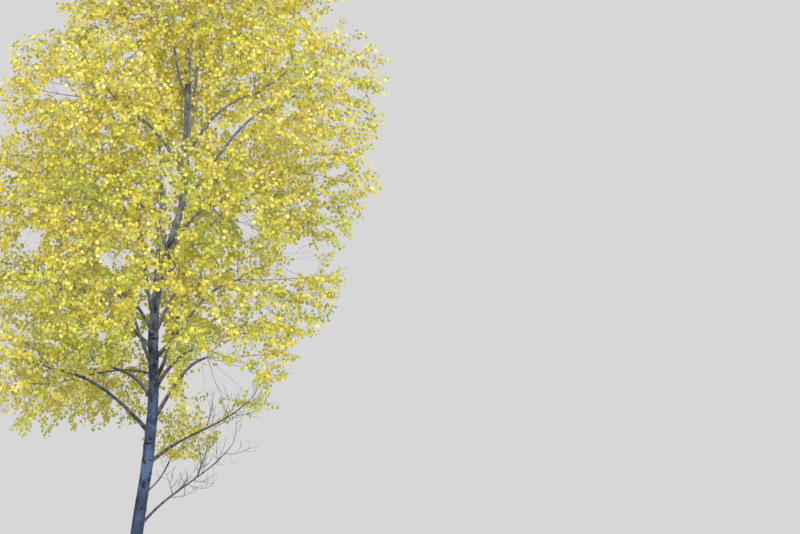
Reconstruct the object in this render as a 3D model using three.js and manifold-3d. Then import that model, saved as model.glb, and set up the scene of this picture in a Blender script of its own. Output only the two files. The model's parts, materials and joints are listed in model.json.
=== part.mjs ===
// A young quaking poplar in autumn leaf, in millimetres, +Z up. X runs to the right of the view it is
// known from, Y away from the viewer. The origin is the middle of the flat cut at ground level.
// The stem is one tapering limb to its tip, with a second leader at the fork. Boughs leave it in
// tiers, and each ends in a mass of leaves: twigs that branch by a seeded rule from one stem, with
// blades fused to them. A blade stands for a spray of small round leaves.
import * as THREE from "three";
import { mergeVertices } from "three/addons/utils/BufferGeometryUtils.js";
import Module from "manifold-3d";

// Stem
const STEM_TOP = 9950;
const STEM_TAPER_TOP = 10620; // where the taper would come to nothing
const BOLE_RADIUS = 95;
const TAPER_POWER = 0.8;
const ROOT_FLARE = 62;
const FLARE_HEIGHT = 230;
const ROOT_RIDGES = 5;
const ROOT_RIDGE_SHARE = 0.42;
const ROOT_RIDGE_TURN = 0.6;
const STEM_SIDES = 12;
const STEM_RINGS = 24;
const STEM_RING_POWER = 1.35; // above 1, the rings lie closer near the ground
const STEM_STEPS = 300; // of the smooth line
const STEM_LENGTHS = 60; // straight lengths that stand for the stem when distances are measured
const STEM_LINE = [
  [0, 0, 0],
  [140, -10, 1200],
  [317, -20, 2712],
  [456, -10, 3648],
  [512, 10, 4260],
  [547, 30, 5484],
  [768, 0, 6336],
  [874, -30, 6720],
  [931, -20, 7788],
  [960, 10, 8520],
  [1068, 30, 9120],
  [1130, 20, STEM_TOP],
];

// Boughs
const BOUGH_SIDES = 6;
const BOUGH_RINGS = 6;
const BOUGH_RING_POWER = 1.25;
const BOUGH_LENGTHS = 24; // straight lengths that stand for a bough when distances are measured
const FOOT_PULL = 0.42; // share of its span over which a bough keeps its direction at the foot
const TIP_PULL = 0.34; // and at the tip
const COLLAR_SHARE = 0.45; // how much wider a bough is where it leaves the stem
const COLLAR_LENGTH = 0.07; // and over what share of its length that fades
const BURIED_SHARE = 0.9; // a point nearer to the stem's line than this share of its radius is inside it
const SEAT_GAP = 0.3; // the clearance at which a limb or a mass meets what carries it
const CUT_SLACK = 0.1; // added to it where the stem cuts a bough's foot
const CLEAR = 4; // the least space between limbs, and from leaves to limbs
const FOOT_STAGGER = 600; // the boughs of a tier leave the stem one above another within this height
const STAGGER_START = 0.1; // where in it the first bough of the first tier lies
const FOOT_STEP = 40; // a bough whose way is barred starts this much higher or lower
const FOOT_TRIES = 24;
const GOLDEN = 0.618;
const BARE_LIFT = 400; // how much the tip of a bare bough turns up, in millimetres over its span

// Crown tiers, from the lowest. Azimuths are in degrees from +X towards +Y.
// z, x: middle of the ring of masses; ring: its radius; tilt: how much higher its right side is
// first, step, count: azimuths; size: radius of a mass; drop: how far below z its boughs start
// rise: slope of the bough's foot in degrees; foot, tip: the bough's end radii
const TIERS = [
  { name: "low", z: 4850, x: 300, ring: 1300, tilt: 150, first: 200, step: -80, count: 4,
    size: 920, drop: 700, rise: 48, foot: 27, tip: 15 },
  { name: "lower", z: 5700, x: 520, ring: 1350, tilt: 60, first: 185, step: -60, count: 6,
    size: 960, drop: 900, rise: 42, foot: 24, tip: 14 },
  { name: "middle", z: 6850, x: 720, ring: 1500, tilt: 0, first: 180, step: -60, count: 6,
    size: 1000, drop: 1000, rise: 45, foot: 24, tip: 14 },
  { name: "upper", z: 8000, x: 1090, ring: 1640, tilt: 0, first: 160, step: -72, count: 5,
    size: 950, drop: 1180, rise: 52, foot: 21, tip: 12 },
  { name: "high", z: 9080, x: 1090, ring: 880, tilt: 0, first: 200, step: -90, count: 4,
    size: 900, drop: 1200, rise: 60, foot: 16, tip: 10 },
];
const TIER_JITTER = 130; // a mass lies off its place in the ring by up to this much
const ENTRY_SHARE = 0.42; // a bough ends this share of the mass's radius short of its middle
const ENTRY_HEIGHT = 0.7; // it comes from this share of the way up from its foot to the mass

// Single limbs: the second leader, a low shoot, and three boughs that have lost their leaves
const LEADER = {
  foot: 5480, tipAt: [600, -230, 7380], rise: 84, radii: [34, 16], middle: [520, -160, 7960], size: 720,
};
const SHOOT = {
  foot: 3180, tipAt: [700, 300, 3560], rise: 25, radii: [13, 9], middle: [860, 330, 3900], size: 470,
};
const BARE = [
  { name: "bough_bare_right", foot: 2760, tipAt: [1440, -240, 3760], rise: 52, radii: [18, 5] },
  { name: "bough_bare_long", foot: 3528, tipAt: [1644, -120, 4296], rise: 44, radii: [22, 6] },
  { name: "bough_bare_left", foot: 4620, tipAt: [-980, -560, 4560], rise: 18, radii: [15, 4] },
];
const TOP_MASS = { middle: [1150, 10, 10000], size: 850 };

// Openings of the crown as the view shows them: places in X and Z, and half their width and height
const GAPS = [
  { x: 1350, z: 4560, wide: 430, high: 420 },
  { x: 20, z: 6000, wide: 280, high: 90 },
  { x: -960, z: 6270, wide: 120, high: 150 },
  { x: 1650, z: 6420, wide: 150, high: 300 },
  { x: 2280, z: 6000, wide: 300, high: 260 },
  { x: -570, z: 8040, wide: 230, high: 150 },
];
const STEM_VIEW = { top: 5700, wide: 190 }; // below this height no leaf hides the stem from the front

// Foliage
const NODE_SPACING = 510; // between the places where blades grow
const NODE_LIMIT = 10; // such places in a mass
const NODE_TRIES = 420;
const NODE_MARGIN = 110; // from such a place to the border of its mass
const NODE_OUTWARD = 0.36; // power that spreads the places out: a third spreads them evenly
const ROOT_SPACING = 255; // from such a place to the mass's root
const PATH_WEIGHT = 0.45; // how strongly a twig prefers a short way back to the stem
const TURN_WEIGHT = 0.5; // and how strongly it avoids a turn
const SHARPEST_TURN = 1.25; // one less the cosine of the sharpest turn of a twig
const TWIG_TIP = 5;
const TWIG_ROOM = 15; // half the thickness that is kept clear for a twig
const TWIG_GROWTH = 0.5; // power of the number of places a twig carries
const TWIG_FOOT = 1.15; // a twig's width at its foot in widths at its end
const TWIG_SIDES = 3;
const STUB = 1.6; // length of a mass's first stub, in radii of the bough's tip
const STUB_OVERLAP = 0.5;
const STUB_TAPER = 0.9;
const BLADES_PER_NODE = 2;
const BLADE_TRIES = 16;
const BLADE_LEAN = 0.4; // how strongly a blade follows its twig's direction
const BLADE_TURN = 0.6; // how far a blade turns from facing out of its mass
const BLADE_STEP = 75; // from one blade's root to the next, back along the twig
const BLADE_LENGTH = 560;
const BLADE_WIDTH = 470;
const BLADE_WIDEST = 0.5; // share of the length where a blade is widest
const BLADE_THICKNESS = 9;
const SMALLEST_BLADE = 0.6;
const CELL_GAP = 12; // between two masses
const SIMPLER_BY = 0.5; // points of a joined mass closer than this become one
const ROOT_SHARE = 0.2; // the part of a blade near its root that may cross its neighbours
const FOLIAGE_SEED = 1000;

const BARK = new THREE.MeshStandardMaterial({ color: 0x7f7f8c, roughness: 0.85, metalness: 0 });
const DARK_BARK = new THREE.MeshStandardMaterial({ color: 0x55535a, roughness: 0.9, metalness: 0 });
const LEAF = new THREE.MeshStandardMaterial({ color: 0xe3cf2c, roughness: 0.6, metalness: 0 });

const vector = (x, y, z) => new THREE.Vector3(x, y, z);
const radians = THREE.MathUtils.degToRad;
const lerp = THREE.MathUtils.lerp;

// Random numbers from 0 to 1 that are the same on every run, one series for each seed.
function series(seed) {
  let state = (seed * 7919 + 12345) % 4294967296;
  return () => {
    state = (state * 1664525 + 1013904223) % 4294967296;
    return state / 4294967296;
  };
}

function anyDirection(random) {
  const turn = 2 * Math.PI * random();
  const height = 2 * random() - 1;
  const flat = Math.sqrt(1 - height ** 2);
  return vector(flat * Math.cos(turn), flat * Math.sin(turn), height);
}

const wasm = await Module();
wasm.setup();

function solidOf(geometry) {
  const bare = new THREE.BufferGeometry().setAttribute("position", geometry.getAttribute("position"));
  bare.setIndex(geometry.index);
  const merged = mergeVertices(bare, 1e-3);
  const mesh = new wasm.Mesh({
    numProp: 3,
    vertProperties: merged.getAttribute("position").array,
    triVerts: new Uint32Array(merged.index.array),
  });
  return new wasm.Manifold(mesh);
}

function geometryOf(solid) {
  const { vertProperties, triVerts } = solid.getMesh();
  const geometry = new THREE.BufferGeometry();
  geometry.setAttribute("position", new THREE.BufferAttribute(new Float32Array(vertProperties), 3));
  geometry.setIndex(new THREE.BufferAttribute(new Uint32Array(triVerts), 1));
  geometry.computeVertexNormals();
  return geometry;
}

// The one large body of a solid: loose scraps and sealed hollows are left behind.
function mainBody(solid) {
  return solid.decompose().reduce((best, body) => (body.volume() > best.volume() ? body : best));
}

// The solid as a mesh's 32-bit numbers hold it. They can close a thin neck, and what it held is dropped.
function asMeshed(solid) {
  return mainBody(solidOf(geometryOf(solid)));
}

// A closed limb through rings of points, each ring as long as the next, with flat ends.
function skin(rings) {
  const sides = rings[0].length;
  const positions = rings.flat().flatMap((p) => [p.x, p.y, p.z]);
  const index = [];
  for (let ring = 0; ring + 1 < rings.length; ring += 1) {
    for (let side = 0; side < sides; side += 1) {
      const a = ring * sides + side;
      const b = ring * sides + ((side + 1) % sides);
      index.push(a, b, b + sides, a, b + sides, a + sides);
    }
  }
  const last = (rings.length - 1) * sides;
  for (let side = 1; side + 1 < sides; side += 1) {
    index.push(0, side + 1, side, last, last + side, last + side + 1);
  }
  const geometry = new THREE.BufferGeometry();
  geometry.setAttribute("position", new THREE.Float32BufferAttribute(positions, 3));
  geometry.setIndex(index);
  return geometry;
}

// A vector square to a direction, for a straight piece that starts its rings anywhere.
function anyAcross(direction) {
  const reference = Math.abs(direction.z) < 0.9 ? vector(0, 0, 1) : vector(1, 0, 0);
  return new THREE.Vector3().crossVectors(reference, direction);
}

// A ring of points round a centre, square to a direction. Its first point lies towards across, so the
// rings of a bent piece that share one across don't twist.
function ringAt(centre, direction, radius, sides, across = anyAcross(direction)) {
  const along = direction.clone().normalize();
  const u = across.clone().addScaledVector(along, -across.dot(along)).normalize();
  const v = new THREE.Vector3().crossVectors(along, u);
  return Array.from({ length: sides }, (_, i) => {
    const turn = (i / sides) * 2 * Math.PI;
    return centre.clone().addScaledVector(u, radius * Math.cos(turn)).addScaledVector(v, radius * Math.sin(turn));
  });
}

// The stem: a smooth line, a taper, and ridges of root at the ground
const stemCurve = new THREE.CatmullRomCurve3(STEM_LINE.map((p) => vector(...p)), false, "centripetal");
const stemPoints = stemCurve.getPoints(STEM_STEPS);

function stemAt(z) {
  const above = Math.max(1, stemPoints.findIndex((p) => p.z >= z));
  const [low, high] = [stemPoints[above - 1], stemPoints[above]];
  return low.clone().lerp(high, (z - low.z) / (high.z - low.z));
}

const stemRadius = (z) => BOLE_RADIUS * (1 - z / STEM_TAPER_TOP) ** TAPER_POWER;

const flareAt = (z) => ROOT_FLARE * Math.exp(-z / FLARE_HEIGHT);

function stemGeometry(extra) {
  const rings = [];
  for (let i = 0; i <= STEM_RINGS; i += 1) {
    const z = STEM_TOP * (i / STEM_RINGS) ** STEM_RING_POWER;
    const centre = stemAt(z);
    const ring = [];
    for (let side = 0; side < STEM_SIDES; side += 1) {
      const turn = (side / STEM_SIDES) * 2 * Math.PI;
      const ridge = 1 + ROOT_RIDGE_SHARE * Math.cos(ROOT_RIDGES * turn + ROOT_RIDGE_TURN);
      const radius = stemRadius(z) + flareAt(z) * ridge + extra;
      ring.push(vector(centre.x + radius * Math.cos(turn), centre.y + radius * Math.sin(turn), z));
    }
    rings.push(ring);
  }
  return skin(rings);
}

// Every limb as a chain of short straight lengths with a radius, for measuring distances
const limbs = [];

function stemLimb() {
  const points = Array.from({ length: STEM_LENGTHS + 1 }, (_, i) => stemAt((STEM_TOP * i) / STEM_LENGTHS));
  limbs.push({ name: "trunk", points, radii: points.map((p) => stemRadius(p.z) + flareAt(p.z)) });
}

// The least distance between the straight lengths p to q and r to s.
function gapBetween(p, q, r, s) {
  const a = q.clone().sub(p);
  const b = s.clone().sub(r);
  const c = p.clone().sub(r);
  const aa = a.dot(a);
  const bb = b.dot(b);
  const ab = a.dot(b);
  const ac = a.dot(c);
  const bc = b.dot(c);
  const clamp = (x) => Math.min(1, Math.max(0, x));
  const flat = aa * bb - ab * ab;
  const first = flat > 1e-9 ? clamp((ab * bc - ac * bb) / flat) : 0;
  const u = clamp((ab * first + bc) / bb);
  const t = clamp((ab * u - ac) / aa);
  return c.addScaledVector(a, t).addScaledVector(b, -u).length();
}

// How near a straight length comes to the limbs, less both radii. A limb may be left out.
function roomFor(p, q, radius, except) {
  let room = Infinity;
  for (const limb of limbs) {
    if (limb.name === except) continue;
    for (let i = 0; i + 1 < limb.points.length; i += 1) {
      const gap = gapBetween(p, q, limb.points[i], limb.points[i + 1]);
      room = Math.min(room, gap - radius - Math.max(limb.radii[i], limb.radii[i + 1]));
    }
  }
  return room;
}

// Whether a chain of straight lengths runs through a three-cornered face.
function crosses(chain, a, b, c) {
  const hit = new THREE.Vector3();
  return chain.slice(1).some((q, i) => {
    const p = chain[i];
    const ray = new THREE.Ray(p, q.clone().sub(p).normalize());
    return ray.intersectTriangle(a, b, c, false, hit) !== null && hit.distanceTo(p) <= p.distanceTo(q);
  });
}

// A flat three-cornered piece is clear of the limbs if its sides are and no limb runs through it.
function faceIsClear(a, b, c, thickness) {
  const sides = [[a, b], [b, c], [c, a]];
  if (sides.some(([p, q]) => roomFor(p, q, thickness) < CLEAR)) return false;
  const face = new THREE.Triangle(a, b, c);
  const near = new THREE.Vector3();
  const apart = (limb) => limb.points.every((p, i) => {
    face.closestPointToPoint(p, near);
    return near.distanceTo(p) > limb.radii[i] + thickness + CLEAR;
  });
  return limbs.every((limb) => apart(limb) && !crosses(limb.points, a, b, c));
}

// A bough's line: a smooth curve from the stem's line to its tip.
function boughPath(footZ, azimuth, rise, tip, heading) {
  const foot = stemAt(footZ);
  const flat = Math.cos(rise);
  const out = vector(Math.cos(azimuth) * flat, Math.sin(azimuth) * flat, Math.sin(rise));
  const length = foot.distanceTo(tip);
  return new THREE.CubicBezierCurve3(
    foot,
    foot.clone().addScaledVector(out, FOOT_PULL * length),
    tip.clone().addScaledVector(heading, -TIP_PULL * length),
    tip,
  );
}

function outOfStem(p) {
  const axis = stemAt(p.z);
  return Math.hypot(p.x - axis.x, p.y - axis.y) > BURIED_SHARE * stemRadius(p.z);
}

const boughRadius = (t, [foot, tip]) =>
  lerp(foot, tip, t ** TAPER_POWER) * (1 + COLLAR_SHARE * Math.exp(-t / COLLAR_LENGTH));

function boughSolid(path, radii) {
  const start = path.getTangent(0);
  const across = vector(-start.y, start.x, 0);
  const rings = [];
  for (let i = 0; i <= BOUGH_RINGS; i += 1) {
    const t = (i / BOUGH_RINGS) ** BOUGH_RING_POWER;
    rings.push(ringAt(path.getPoint(t), path.getTangent(t), boughRadius(t, radii), BOUGH_SIDES, across));
  }
  return solidOf(skin(rings));
}

const cutter = solidOf(stemGeometry(SEAT_GAP + CUT_SLACK));

// Sets a bough on the stem, as near its wanted foot as the limbs that are there leave room for.
function setBough(name, wanted) {
  const tip = vector(...wanted.tipAt);
  const onward = tip.clone().multiplyScalar(2).sub(stemAt(wanted.foot)).add(vector(0, 0, BARE_LIFT));
  const target = wanted.towards ? vector(...wanted.towards) : onward;
  const heading = target.sub(tip).normalize();
  for (let attempt = 0; attempt < FOOT_TRIES; attempt += 1) {
    const side = attempt % 2 ? -1 : 1;
    const footZ = wanted.foot + side * Math.ceil(attempt / 2) * FOOT_STEP;
    const foot = stemAt(footZ);
    const azimuth = Math.atan2(tip.y - foot.y, tip.x - foot.x);
    const path = boughPath(footZ, azimuth, radians(wanted.rise), tip, heading);
    const points = path.getPoints(BOUGH_LENGTHS);
    const radii = points.map((_, i) => boughRadius(i / BOUGH_LENGTHS, wanted.radii));
    const isClear = (q, i) => !outOfStem(q) || roomFor(points[i], q, radii[i], "trunk") > CLEAR;
    if (!points.slice(1).every(isClear)) continue;
    limbs.push({ name, points, radii });
    const solid = mainBody(boughSolid(path, wanted.radii).subtract(cutter));
    return { name, solid, tip, direction: path.getTangent(1).normalize(), tipRadius: wanted.radii[1] };
  }
  throw new Error(`${name} finds no clear way from the stem`);
}

// The name of the side of the crown that an azimuth points to.
function sideName(azimuth) {
  const turn = ((azimuth % 360) + 360) % 360;
  const names = ["right", "back_right", "back", "back_left", "left", "front_left", "front", "front_right"];
  return names[Math.round(turn / 45) % names.length];
}

// The places of the masses in the tiers, each with the height at which its bough leaves the stem.
function planMasses() {
  const plans = [];
  TIERS.forEach((tier, level) => {
    const random = series(level + 1);
    for (let k = 0; k < tier.count; k += 1) {
      const azimuth = tier.first + tier.step * k;
      const turn = radians(azimuth);
      const wobble = [random(), random(), random()].map((x) => (2 * x - 1) * TIER_JITTER);
      const middle = vector(
        tier.x + tier.ring * Math.cos(turn) + wobble[0],
        tier.ring * Math.sin(turn) + wobble[1],
        tier.z + tier.tilt * Math.cos(turn) + wobble[2],
      );
      const stagger = FOOT_STAGGER * (((level + k) * GOLDEN + STAGGER_START) % 1 - 0.5);
      const footZ = tier.z - tier.drop + stagger;
      plans.push({ name: `${tier.name}_${sideName(azimuth)}`, middle, size: tier.size, tier, footZ });
    }
  });
  return plans;
}

const masses = [];
const pieces = [];

// A single limb that carries a mass of its own.
function addLeafyLimb(name, massName, plan) {
  const bough = setBough(name, { ...plan, towards: plan.middle });
  pieces.push({ ...bough, material: BARK });
  masses.push({ name: massName, middle: vector(...plan.middle), size: plan.size, root: bough });
}

function addTierBough({ name, middle, size, tier, footZ }) {
  const from = stemAt(lerp(footZ, middle.z, ENTRY_HEIGHT));
  const tip = middle.clone().addScaledVector(from.sub(middle).normalize(), ENTRY_SHARE * size);
  const radii = [tier.foot, tier.tip];
  const wanted = { foot: footZ, tipAt: tip.toArray(), towards: middle.toArray(), rise: tier.rise, radii };
  const bough = setBough(`bough_${name}`, wanted);
  pieces.push({ ...bough, material: BARK });
  masses.push({ name, middle, size, root: bough });
}

function buildLimbs() {
  stemLimb();
  pieces.push({ name: "trunk", solid: solidOf(stemGeometry(0)), material: BARK });
  addLeafyLimb("second_leader", "inner_leader", LEADER);
  addLeafyLimb("bough_shoot", "low_shoot", SHOOT);
  for (const plan of BARE) pieces.push({ ...setBough(plan.name, plan), material: DARK_BARK });
  planMasses().forEach(addTierBough);
  const root = { name: "trunk", tip: stemAt(STEM_TOP), direction: vector(0, 0, 1), tipRadius: stemRadius(STEM_TOP) };
  masses.push({ name: "top", middle: vector(...TOP_MASS.middle), size: TOP_MASS.size, root });
}

// How far a place lies inside a mass's own space: a ball, cut flat towards each neighbour.
function depthIn(mass, p) {
  let depth = mass.size - p.distanceTo(mass.middle);
  const own = p.distanceToSquared(mass.middle) - mass.size ** 2;
  for (const other of masses) {
    if (other === mass) continue;
    const apart = mass.middle.distanceTo(other.middle);
    if (apart > mass.size + other.size) continue;
    const theirs = p.distanceToSquared(other.middle) - other.size ** 2;
    depth = Math.min(depth, (theirs - own) / (2 * apart) - CELL_GAP / 2);
  }
  return depth;
}

// Whether a place lies in an opening of the crown, or hides the low part of the stem.
function isOpen(p) {
  if (GAPS.some(({ x, z, wide, high }) => ((p.x - x) / wide) ** 2 + ((p.z - z) / high) ** 2 < 1)) return true;
  if (p.z > STEM_VIEW.top) return false;
  const axis = stemAt(p.z);
  return p.y < axis.y && Math.abs(p.x - axis.x) < STEM_VIEW.wide;
}

// Places for blades: seeded points in the mass's space that keep their distance from one another.
function placeNodes(mass, root, random) {
  const found = [];
  for (let attempt = 0; attempt < NODE_TRIES && found.length < NODE_LIMIT; attempt += 1) {
    const way = anyDirection(random);
    const at = mass.middle.clone().addScaledVector(way, mass.size * random() ** NODE_OUTWARD);
    if (depthIn(mass, at) < NODE_MARGIN || isOpen(at)) continue;
    if (at.distanceTo(root) < ROOT_SPACING) continue;
    if (found.some((other) => other.distanceTo(at) < NODE_SPACING)) continue;
    if (roomFor(at, at.clone().add(vector(0, 0, 1)), TWIG_ROOM) < CLEAR) continue;
    found.push(at);
  }
  return found;
}

// The cheapest clear twig from the nodes that are joined to a place that waits, counting its way back.
function cheapestTwig(mass, nodes, waiting) {
  let best = null;
  waiting.forEach((at, which) => {
    nodes.forEach((node) => {
      const way = at.clone().sub(node.at);
      const length = way.length();
      const turn = 1 - way.dot(node.direction) / length;
      if (turn > SHARPEST_TURN) return;
      const cost = length * (1 + TURN_WEIGHT * turn) + PATH_WEIGHT * node.path;
      if (best && cost >= best.cost) return;
      if (roomFor(node.at, at, TWIG_ROOM, node.parent ? null : mass.root.name) < CLEAR) return;
      best = { cost, at, which, parent: node, path: node.path + length, direction: way.normalize() };
    });
  });
  return best;
}

// Joins the places to the mass's root one by one, then counts the places that each twig carries.
function joinNodes(mass, root, found) {
  const nodes = [{ at: root, parent: null, path: 0, direction: mass.root.direction, load: 0 }];
  const waiting = [...found];
  while (waiting.length) {
    const best = cheapestTwig(mass, nodes, waiting);
    if (!best) break;
    waiting.splice(best.which, 1);
    nodes.push({ at: best.at, parent: best.parent, path: best.path, direction: best.direction, load: 0 });
  }
  for (const node of [...nodes].reverse()) {
    node.load = Math.max(1, node.load);
    if (node.parent) node.parent.load += node.load;
  }
  return nodes;
}

// A straight twig of three sides. It runs on a little past its end, so that what grows there is rooted.
function twig(node) {
  const widest = TWIG_TIP * node.parent.load ** TWIG_GROWTH;
  const width = Math.min(TWIG_TIP * (node.load + 1) ** TWIG_GROWTH, widest);
  const end = node.at.clone().addScaledVector(node.direction, TWIG_TIP);
  const foot = ringAt(node.parent.at, node.direction, width * TWIG_FOOT, TWIG_SIDES);
  return solidOf(skin([foot, ringAt(end, node.direction, width, TWIG_SIDES)]));
}

// The stub that carries a mass: it starts square to its bough's flat tip and ends past the root's place.
function stub({ root: { tip, direction, tipRadius } }) {
  const foot = tip.clone().addScaledVector(direction, SEAT_GAP);
  const end = foot.clone().addScaledVector(direction, (STUB + STUB_OVERLAP) * tipRadius);
  const last = ringAt(end, direction, STUB_TAPER * tipRadius, TWIG_SIDES);
  return solidOf(skin([ringAt(foot, direction, tipRadius, TWIG_SIDES), last]));
}

// A blade: a kite-shaped plate, thickest in its middle, rooted inside its twig.
function bladeCorners(root, along, normal, scale) {
  const across = new THREE.Vector3().crossVectors(normal, along).normalize();
  const middle = root.clone().addScaledVector(along, BLADE_LENGTH * BLADE_WIDEST * scale);
  const side = 0.5 * BLADE_WIDTH * scale;
  const outline = [
    root,
    middle.clone().addScaledVector(across, side),
    root.clone().addScaledVector(along, BLADE_LENGTH * scale),
    middle.clone().addScaledVector(across, -side),
  ];
  const thick = 0.5 * BLADE_THICKNESS;
  return { outline, middle, faces: [thick, -thick].map((out) => middle.clone().addScaledVector(normal, out)) };
}

function bladeSolid({ outline, faces }) {
  const positions = [...outline, ...faces].flatMap((p) => [p.x, p.y, p.z]);
  const index = [];
  for (let i = 0; i < 4; i += 1) index.push((i + 1) % 4, i, 4, i, (i + 1) % 4, 5);
  const geometry = new THREE.BufferGeometry();
  geometry.setAttribute("position", new THREE.Float32BufferAttribute(positions, 3));
  geometry.setIndex(index);
  return solidOf(geometry);
}

// The two halves of a blade and the piece between them, less the part by its root.
function bladeHalves([root, left, point, right]) {
  const near = (p) => root.clone().lerp(p, ROOT_SHARE);
  return [[near(left), left, point], [near(right), right, point], [near(left), near(right), point]];
}

function facesCross(first, second) {
  const edges = ([a, b, c]) => [[a, b], [b, c], [c, a]];
  const pierces = (face, other) => edges(face).some((edge) => crosses(edge, ...other));
  return pierces(first, second) || pierces(second, first);
}

function bladeFits(mass, node, { outline, middle, faces }) {
  const [root, left, point, right] = outline;
  if ([left, point, right, ...faces].some((p) => depthIn(mass, p) < 0)) return false;
  const halfway = [left, point, right].map((p) => p.clone().lerp(middle, 0.5));
  if ([left, point, right, middle, ...halfway].some(isOpen)) return false;
  const halves = bladeHalves(outline);
  if (mass.halves.some((other) => halves.some((half) => facesCross(half, other)))) return false;
  const twigs = mass.nodes.filter((other) => other.parent && other !== node && other.parent !== node);
  if (twigs.some(({ at, parent }) => halves.some((half) => crosses([parent.at, at], ...half)))) return false;
  const thickness = BLADE_THICKNESS / 2;
  return faceIsClear(root, left, point, thickness) && faceIsClear(root, point, right, thickness);
}

// Blades at one place: each turns about by the seed, and shrinks until it fits.
function bladesAt(mass, node, random) {
  const solids = [];
  const outward = node.at.clone().sub(mass.middle).normalize();
  for (let k = 0; k < BLADES_PER_NODE; k += 1) {
    const root = node.at.clone().addScaledVector(node.direction, -BLADE_STEP * k);
    for (let attempt = 0; attempt < BLADE_TRIES; attempt += 1) {
      const scale = lerp(1, SMALLEST_BLADE, attempt / (BLADE_TRIES - 1));
      const along = node.direction.clone().multiplyScalar(BLADE_LEAN).add(anyDirection(random)).normalize();
      const facing = outward.clone().addScaledVector(anyDirection(random), BLADE_TURN);
      const normal = facing.addScaledVector(along, -facing.dot(along)).normalize();
      const blade = bladeCorners(root, along, normal, scale);
      if (!bladeFits(mass, node, blade)) continue;
      mass.halves.push(...bladeHalves(blade.outline));
      solids.push(bladeSolid(blade));
      break;
    }
  }
  return solids;
}

function massSolid(mass, seed) {
  const random = series(FOLIAGE_SEED + seed);
  const { tip, direction, tipRadius } = mass.root;
  const root = tip.clone().addScaledVector(direction, SEAT_GAP + STUB * tipRadius);
  mass.nodes = joinNodes(mass, root, placeNodes(mass, root, random));
  mass.halves = [];
  const grown = mass.nodes.slice(1);
  const twigs = grown.map(twig);
  const blades = grown.flatMap((node) => bladesAt(mass, node, random));
  const joined = [...twigs, ...blades].reduce((whole, piece) => whole.add(piece));
  return asMeshed(joined.asOriginal().simplify(SIMPLER_BY).add(stub(mass)));
}

function addFoliage() {
  masses.forEach((mass, seed) => {
    pieces.push({ name: `leaves_${mass.name}`, solid: massSolid(mass, seed), material: LEAF });
  });
}

buildLimbs();
addFoliage();

const tree = new THREE.Group();
for (const { name, solid, material } of pieces) {
  const mesh = new THREE.Mesh(geometryOf(solid), material);
  mesh.name = name;
  tree.add(mesh);
}
export default tree;
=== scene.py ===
# Looks of a young quaking poplar in autumn leaf, grown on from the limbs of the packed frame.
import json
import math
from dataclasses import dataclass, field
from typing import NamedTuple

import bpy
import numpy as np
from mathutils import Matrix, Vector

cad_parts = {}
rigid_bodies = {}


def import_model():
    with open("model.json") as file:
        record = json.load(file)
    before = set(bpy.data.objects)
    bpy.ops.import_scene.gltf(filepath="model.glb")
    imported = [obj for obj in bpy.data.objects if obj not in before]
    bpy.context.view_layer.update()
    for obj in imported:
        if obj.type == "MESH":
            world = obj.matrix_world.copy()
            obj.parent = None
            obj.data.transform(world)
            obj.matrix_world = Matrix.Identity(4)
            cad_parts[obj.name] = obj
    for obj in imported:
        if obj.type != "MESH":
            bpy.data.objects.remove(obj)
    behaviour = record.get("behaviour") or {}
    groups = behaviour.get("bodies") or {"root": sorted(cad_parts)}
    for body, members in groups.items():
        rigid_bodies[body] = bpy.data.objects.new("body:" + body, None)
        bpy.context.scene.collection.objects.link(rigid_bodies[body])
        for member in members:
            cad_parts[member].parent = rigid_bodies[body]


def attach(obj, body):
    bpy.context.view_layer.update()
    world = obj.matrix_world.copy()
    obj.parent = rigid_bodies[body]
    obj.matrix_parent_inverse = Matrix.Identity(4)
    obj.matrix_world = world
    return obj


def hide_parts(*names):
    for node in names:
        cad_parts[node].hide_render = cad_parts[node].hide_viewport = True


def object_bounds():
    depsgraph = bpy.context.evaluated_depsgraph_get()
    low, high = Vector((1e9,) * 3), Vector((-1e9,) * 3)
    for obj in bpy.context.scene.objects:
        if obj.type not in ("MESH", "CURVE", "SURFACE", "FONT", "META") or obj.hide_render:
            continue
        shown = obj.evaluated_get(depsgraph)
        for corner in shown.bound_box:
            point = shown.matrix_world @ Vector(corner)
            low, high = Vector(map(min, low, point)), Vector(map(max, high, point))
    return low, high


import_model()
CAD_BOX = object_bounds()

bl_info = {
    "name": "Autumn Poplar",
    "version": (1, 0, 0),
    "blender": (4, 5, 0),
    "location": "3D View > Sidebar > Poplar",
    "description": "Bark, twigs and autumn leaves for a young poplar",
    "category": "Add Mesh",
}

# The tree's rule works in millimetres, as in the part's source, and MM turns them to metres. Turns are in
# radians. The slope at which a limb leaves the stem, called rise, is in degrees.
MM = 0.001
BODY = "root"
PLACE_MARGIN = 30  # how far twigs may end outside the solids' box
LEAF_MARGIN = 90  # and leaves
UP = np.array([0.0, 0.0, 1.0])
ACROSS = np.array([1.0, 0.0, 0.0])
STEEP = 0.9  # a way that rises more than this is turned round X instead of Z
FULL_TURN = 2 * math.pi
GOLDEN_ANGLE = math.radians(137.5)
TINY = 1e-9  # stands in for a length of 0 where something is divided by it
WAVES = 9  # sines in a seeded wave

# Stem, as in the source
STEM_TOP = 9950
STEM_TAPER_TOP = 10620  # where its radius would taper to nothing
BOLE_RADIUS = 95
TAPER_POWER = 0.8
ROOT_FLARE = 62  # how much wider the foot is
FLARE_HEIGHT = 230  # height over which that fades
ROOT_RIDGES = 5
ROOT_RIDGE_SHARE = 0.42  # of the flare
ROOT_RIDGE_TURN = 0.6
STEM_STEPS = 300  # points of its smooth line
STEM_LENGTHS = 60  # straight lengths by which limbs and twigs keep clear of it
STEM_LINE = [
    [0, 0, 0],
    [140, -10, 1200],
    [317, -20, 2712],
    [456, -10, 3648],
    [512, 10, 4260],
    [547, 30, 5484],
    [768, 0, 6336],
    [874, -30, 6720],
    [931, -20, 7788],
    [960, 10, 8520],
    [1068, 30, 9120],
    [1130, 20, STEM_TOP],
]

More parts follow.
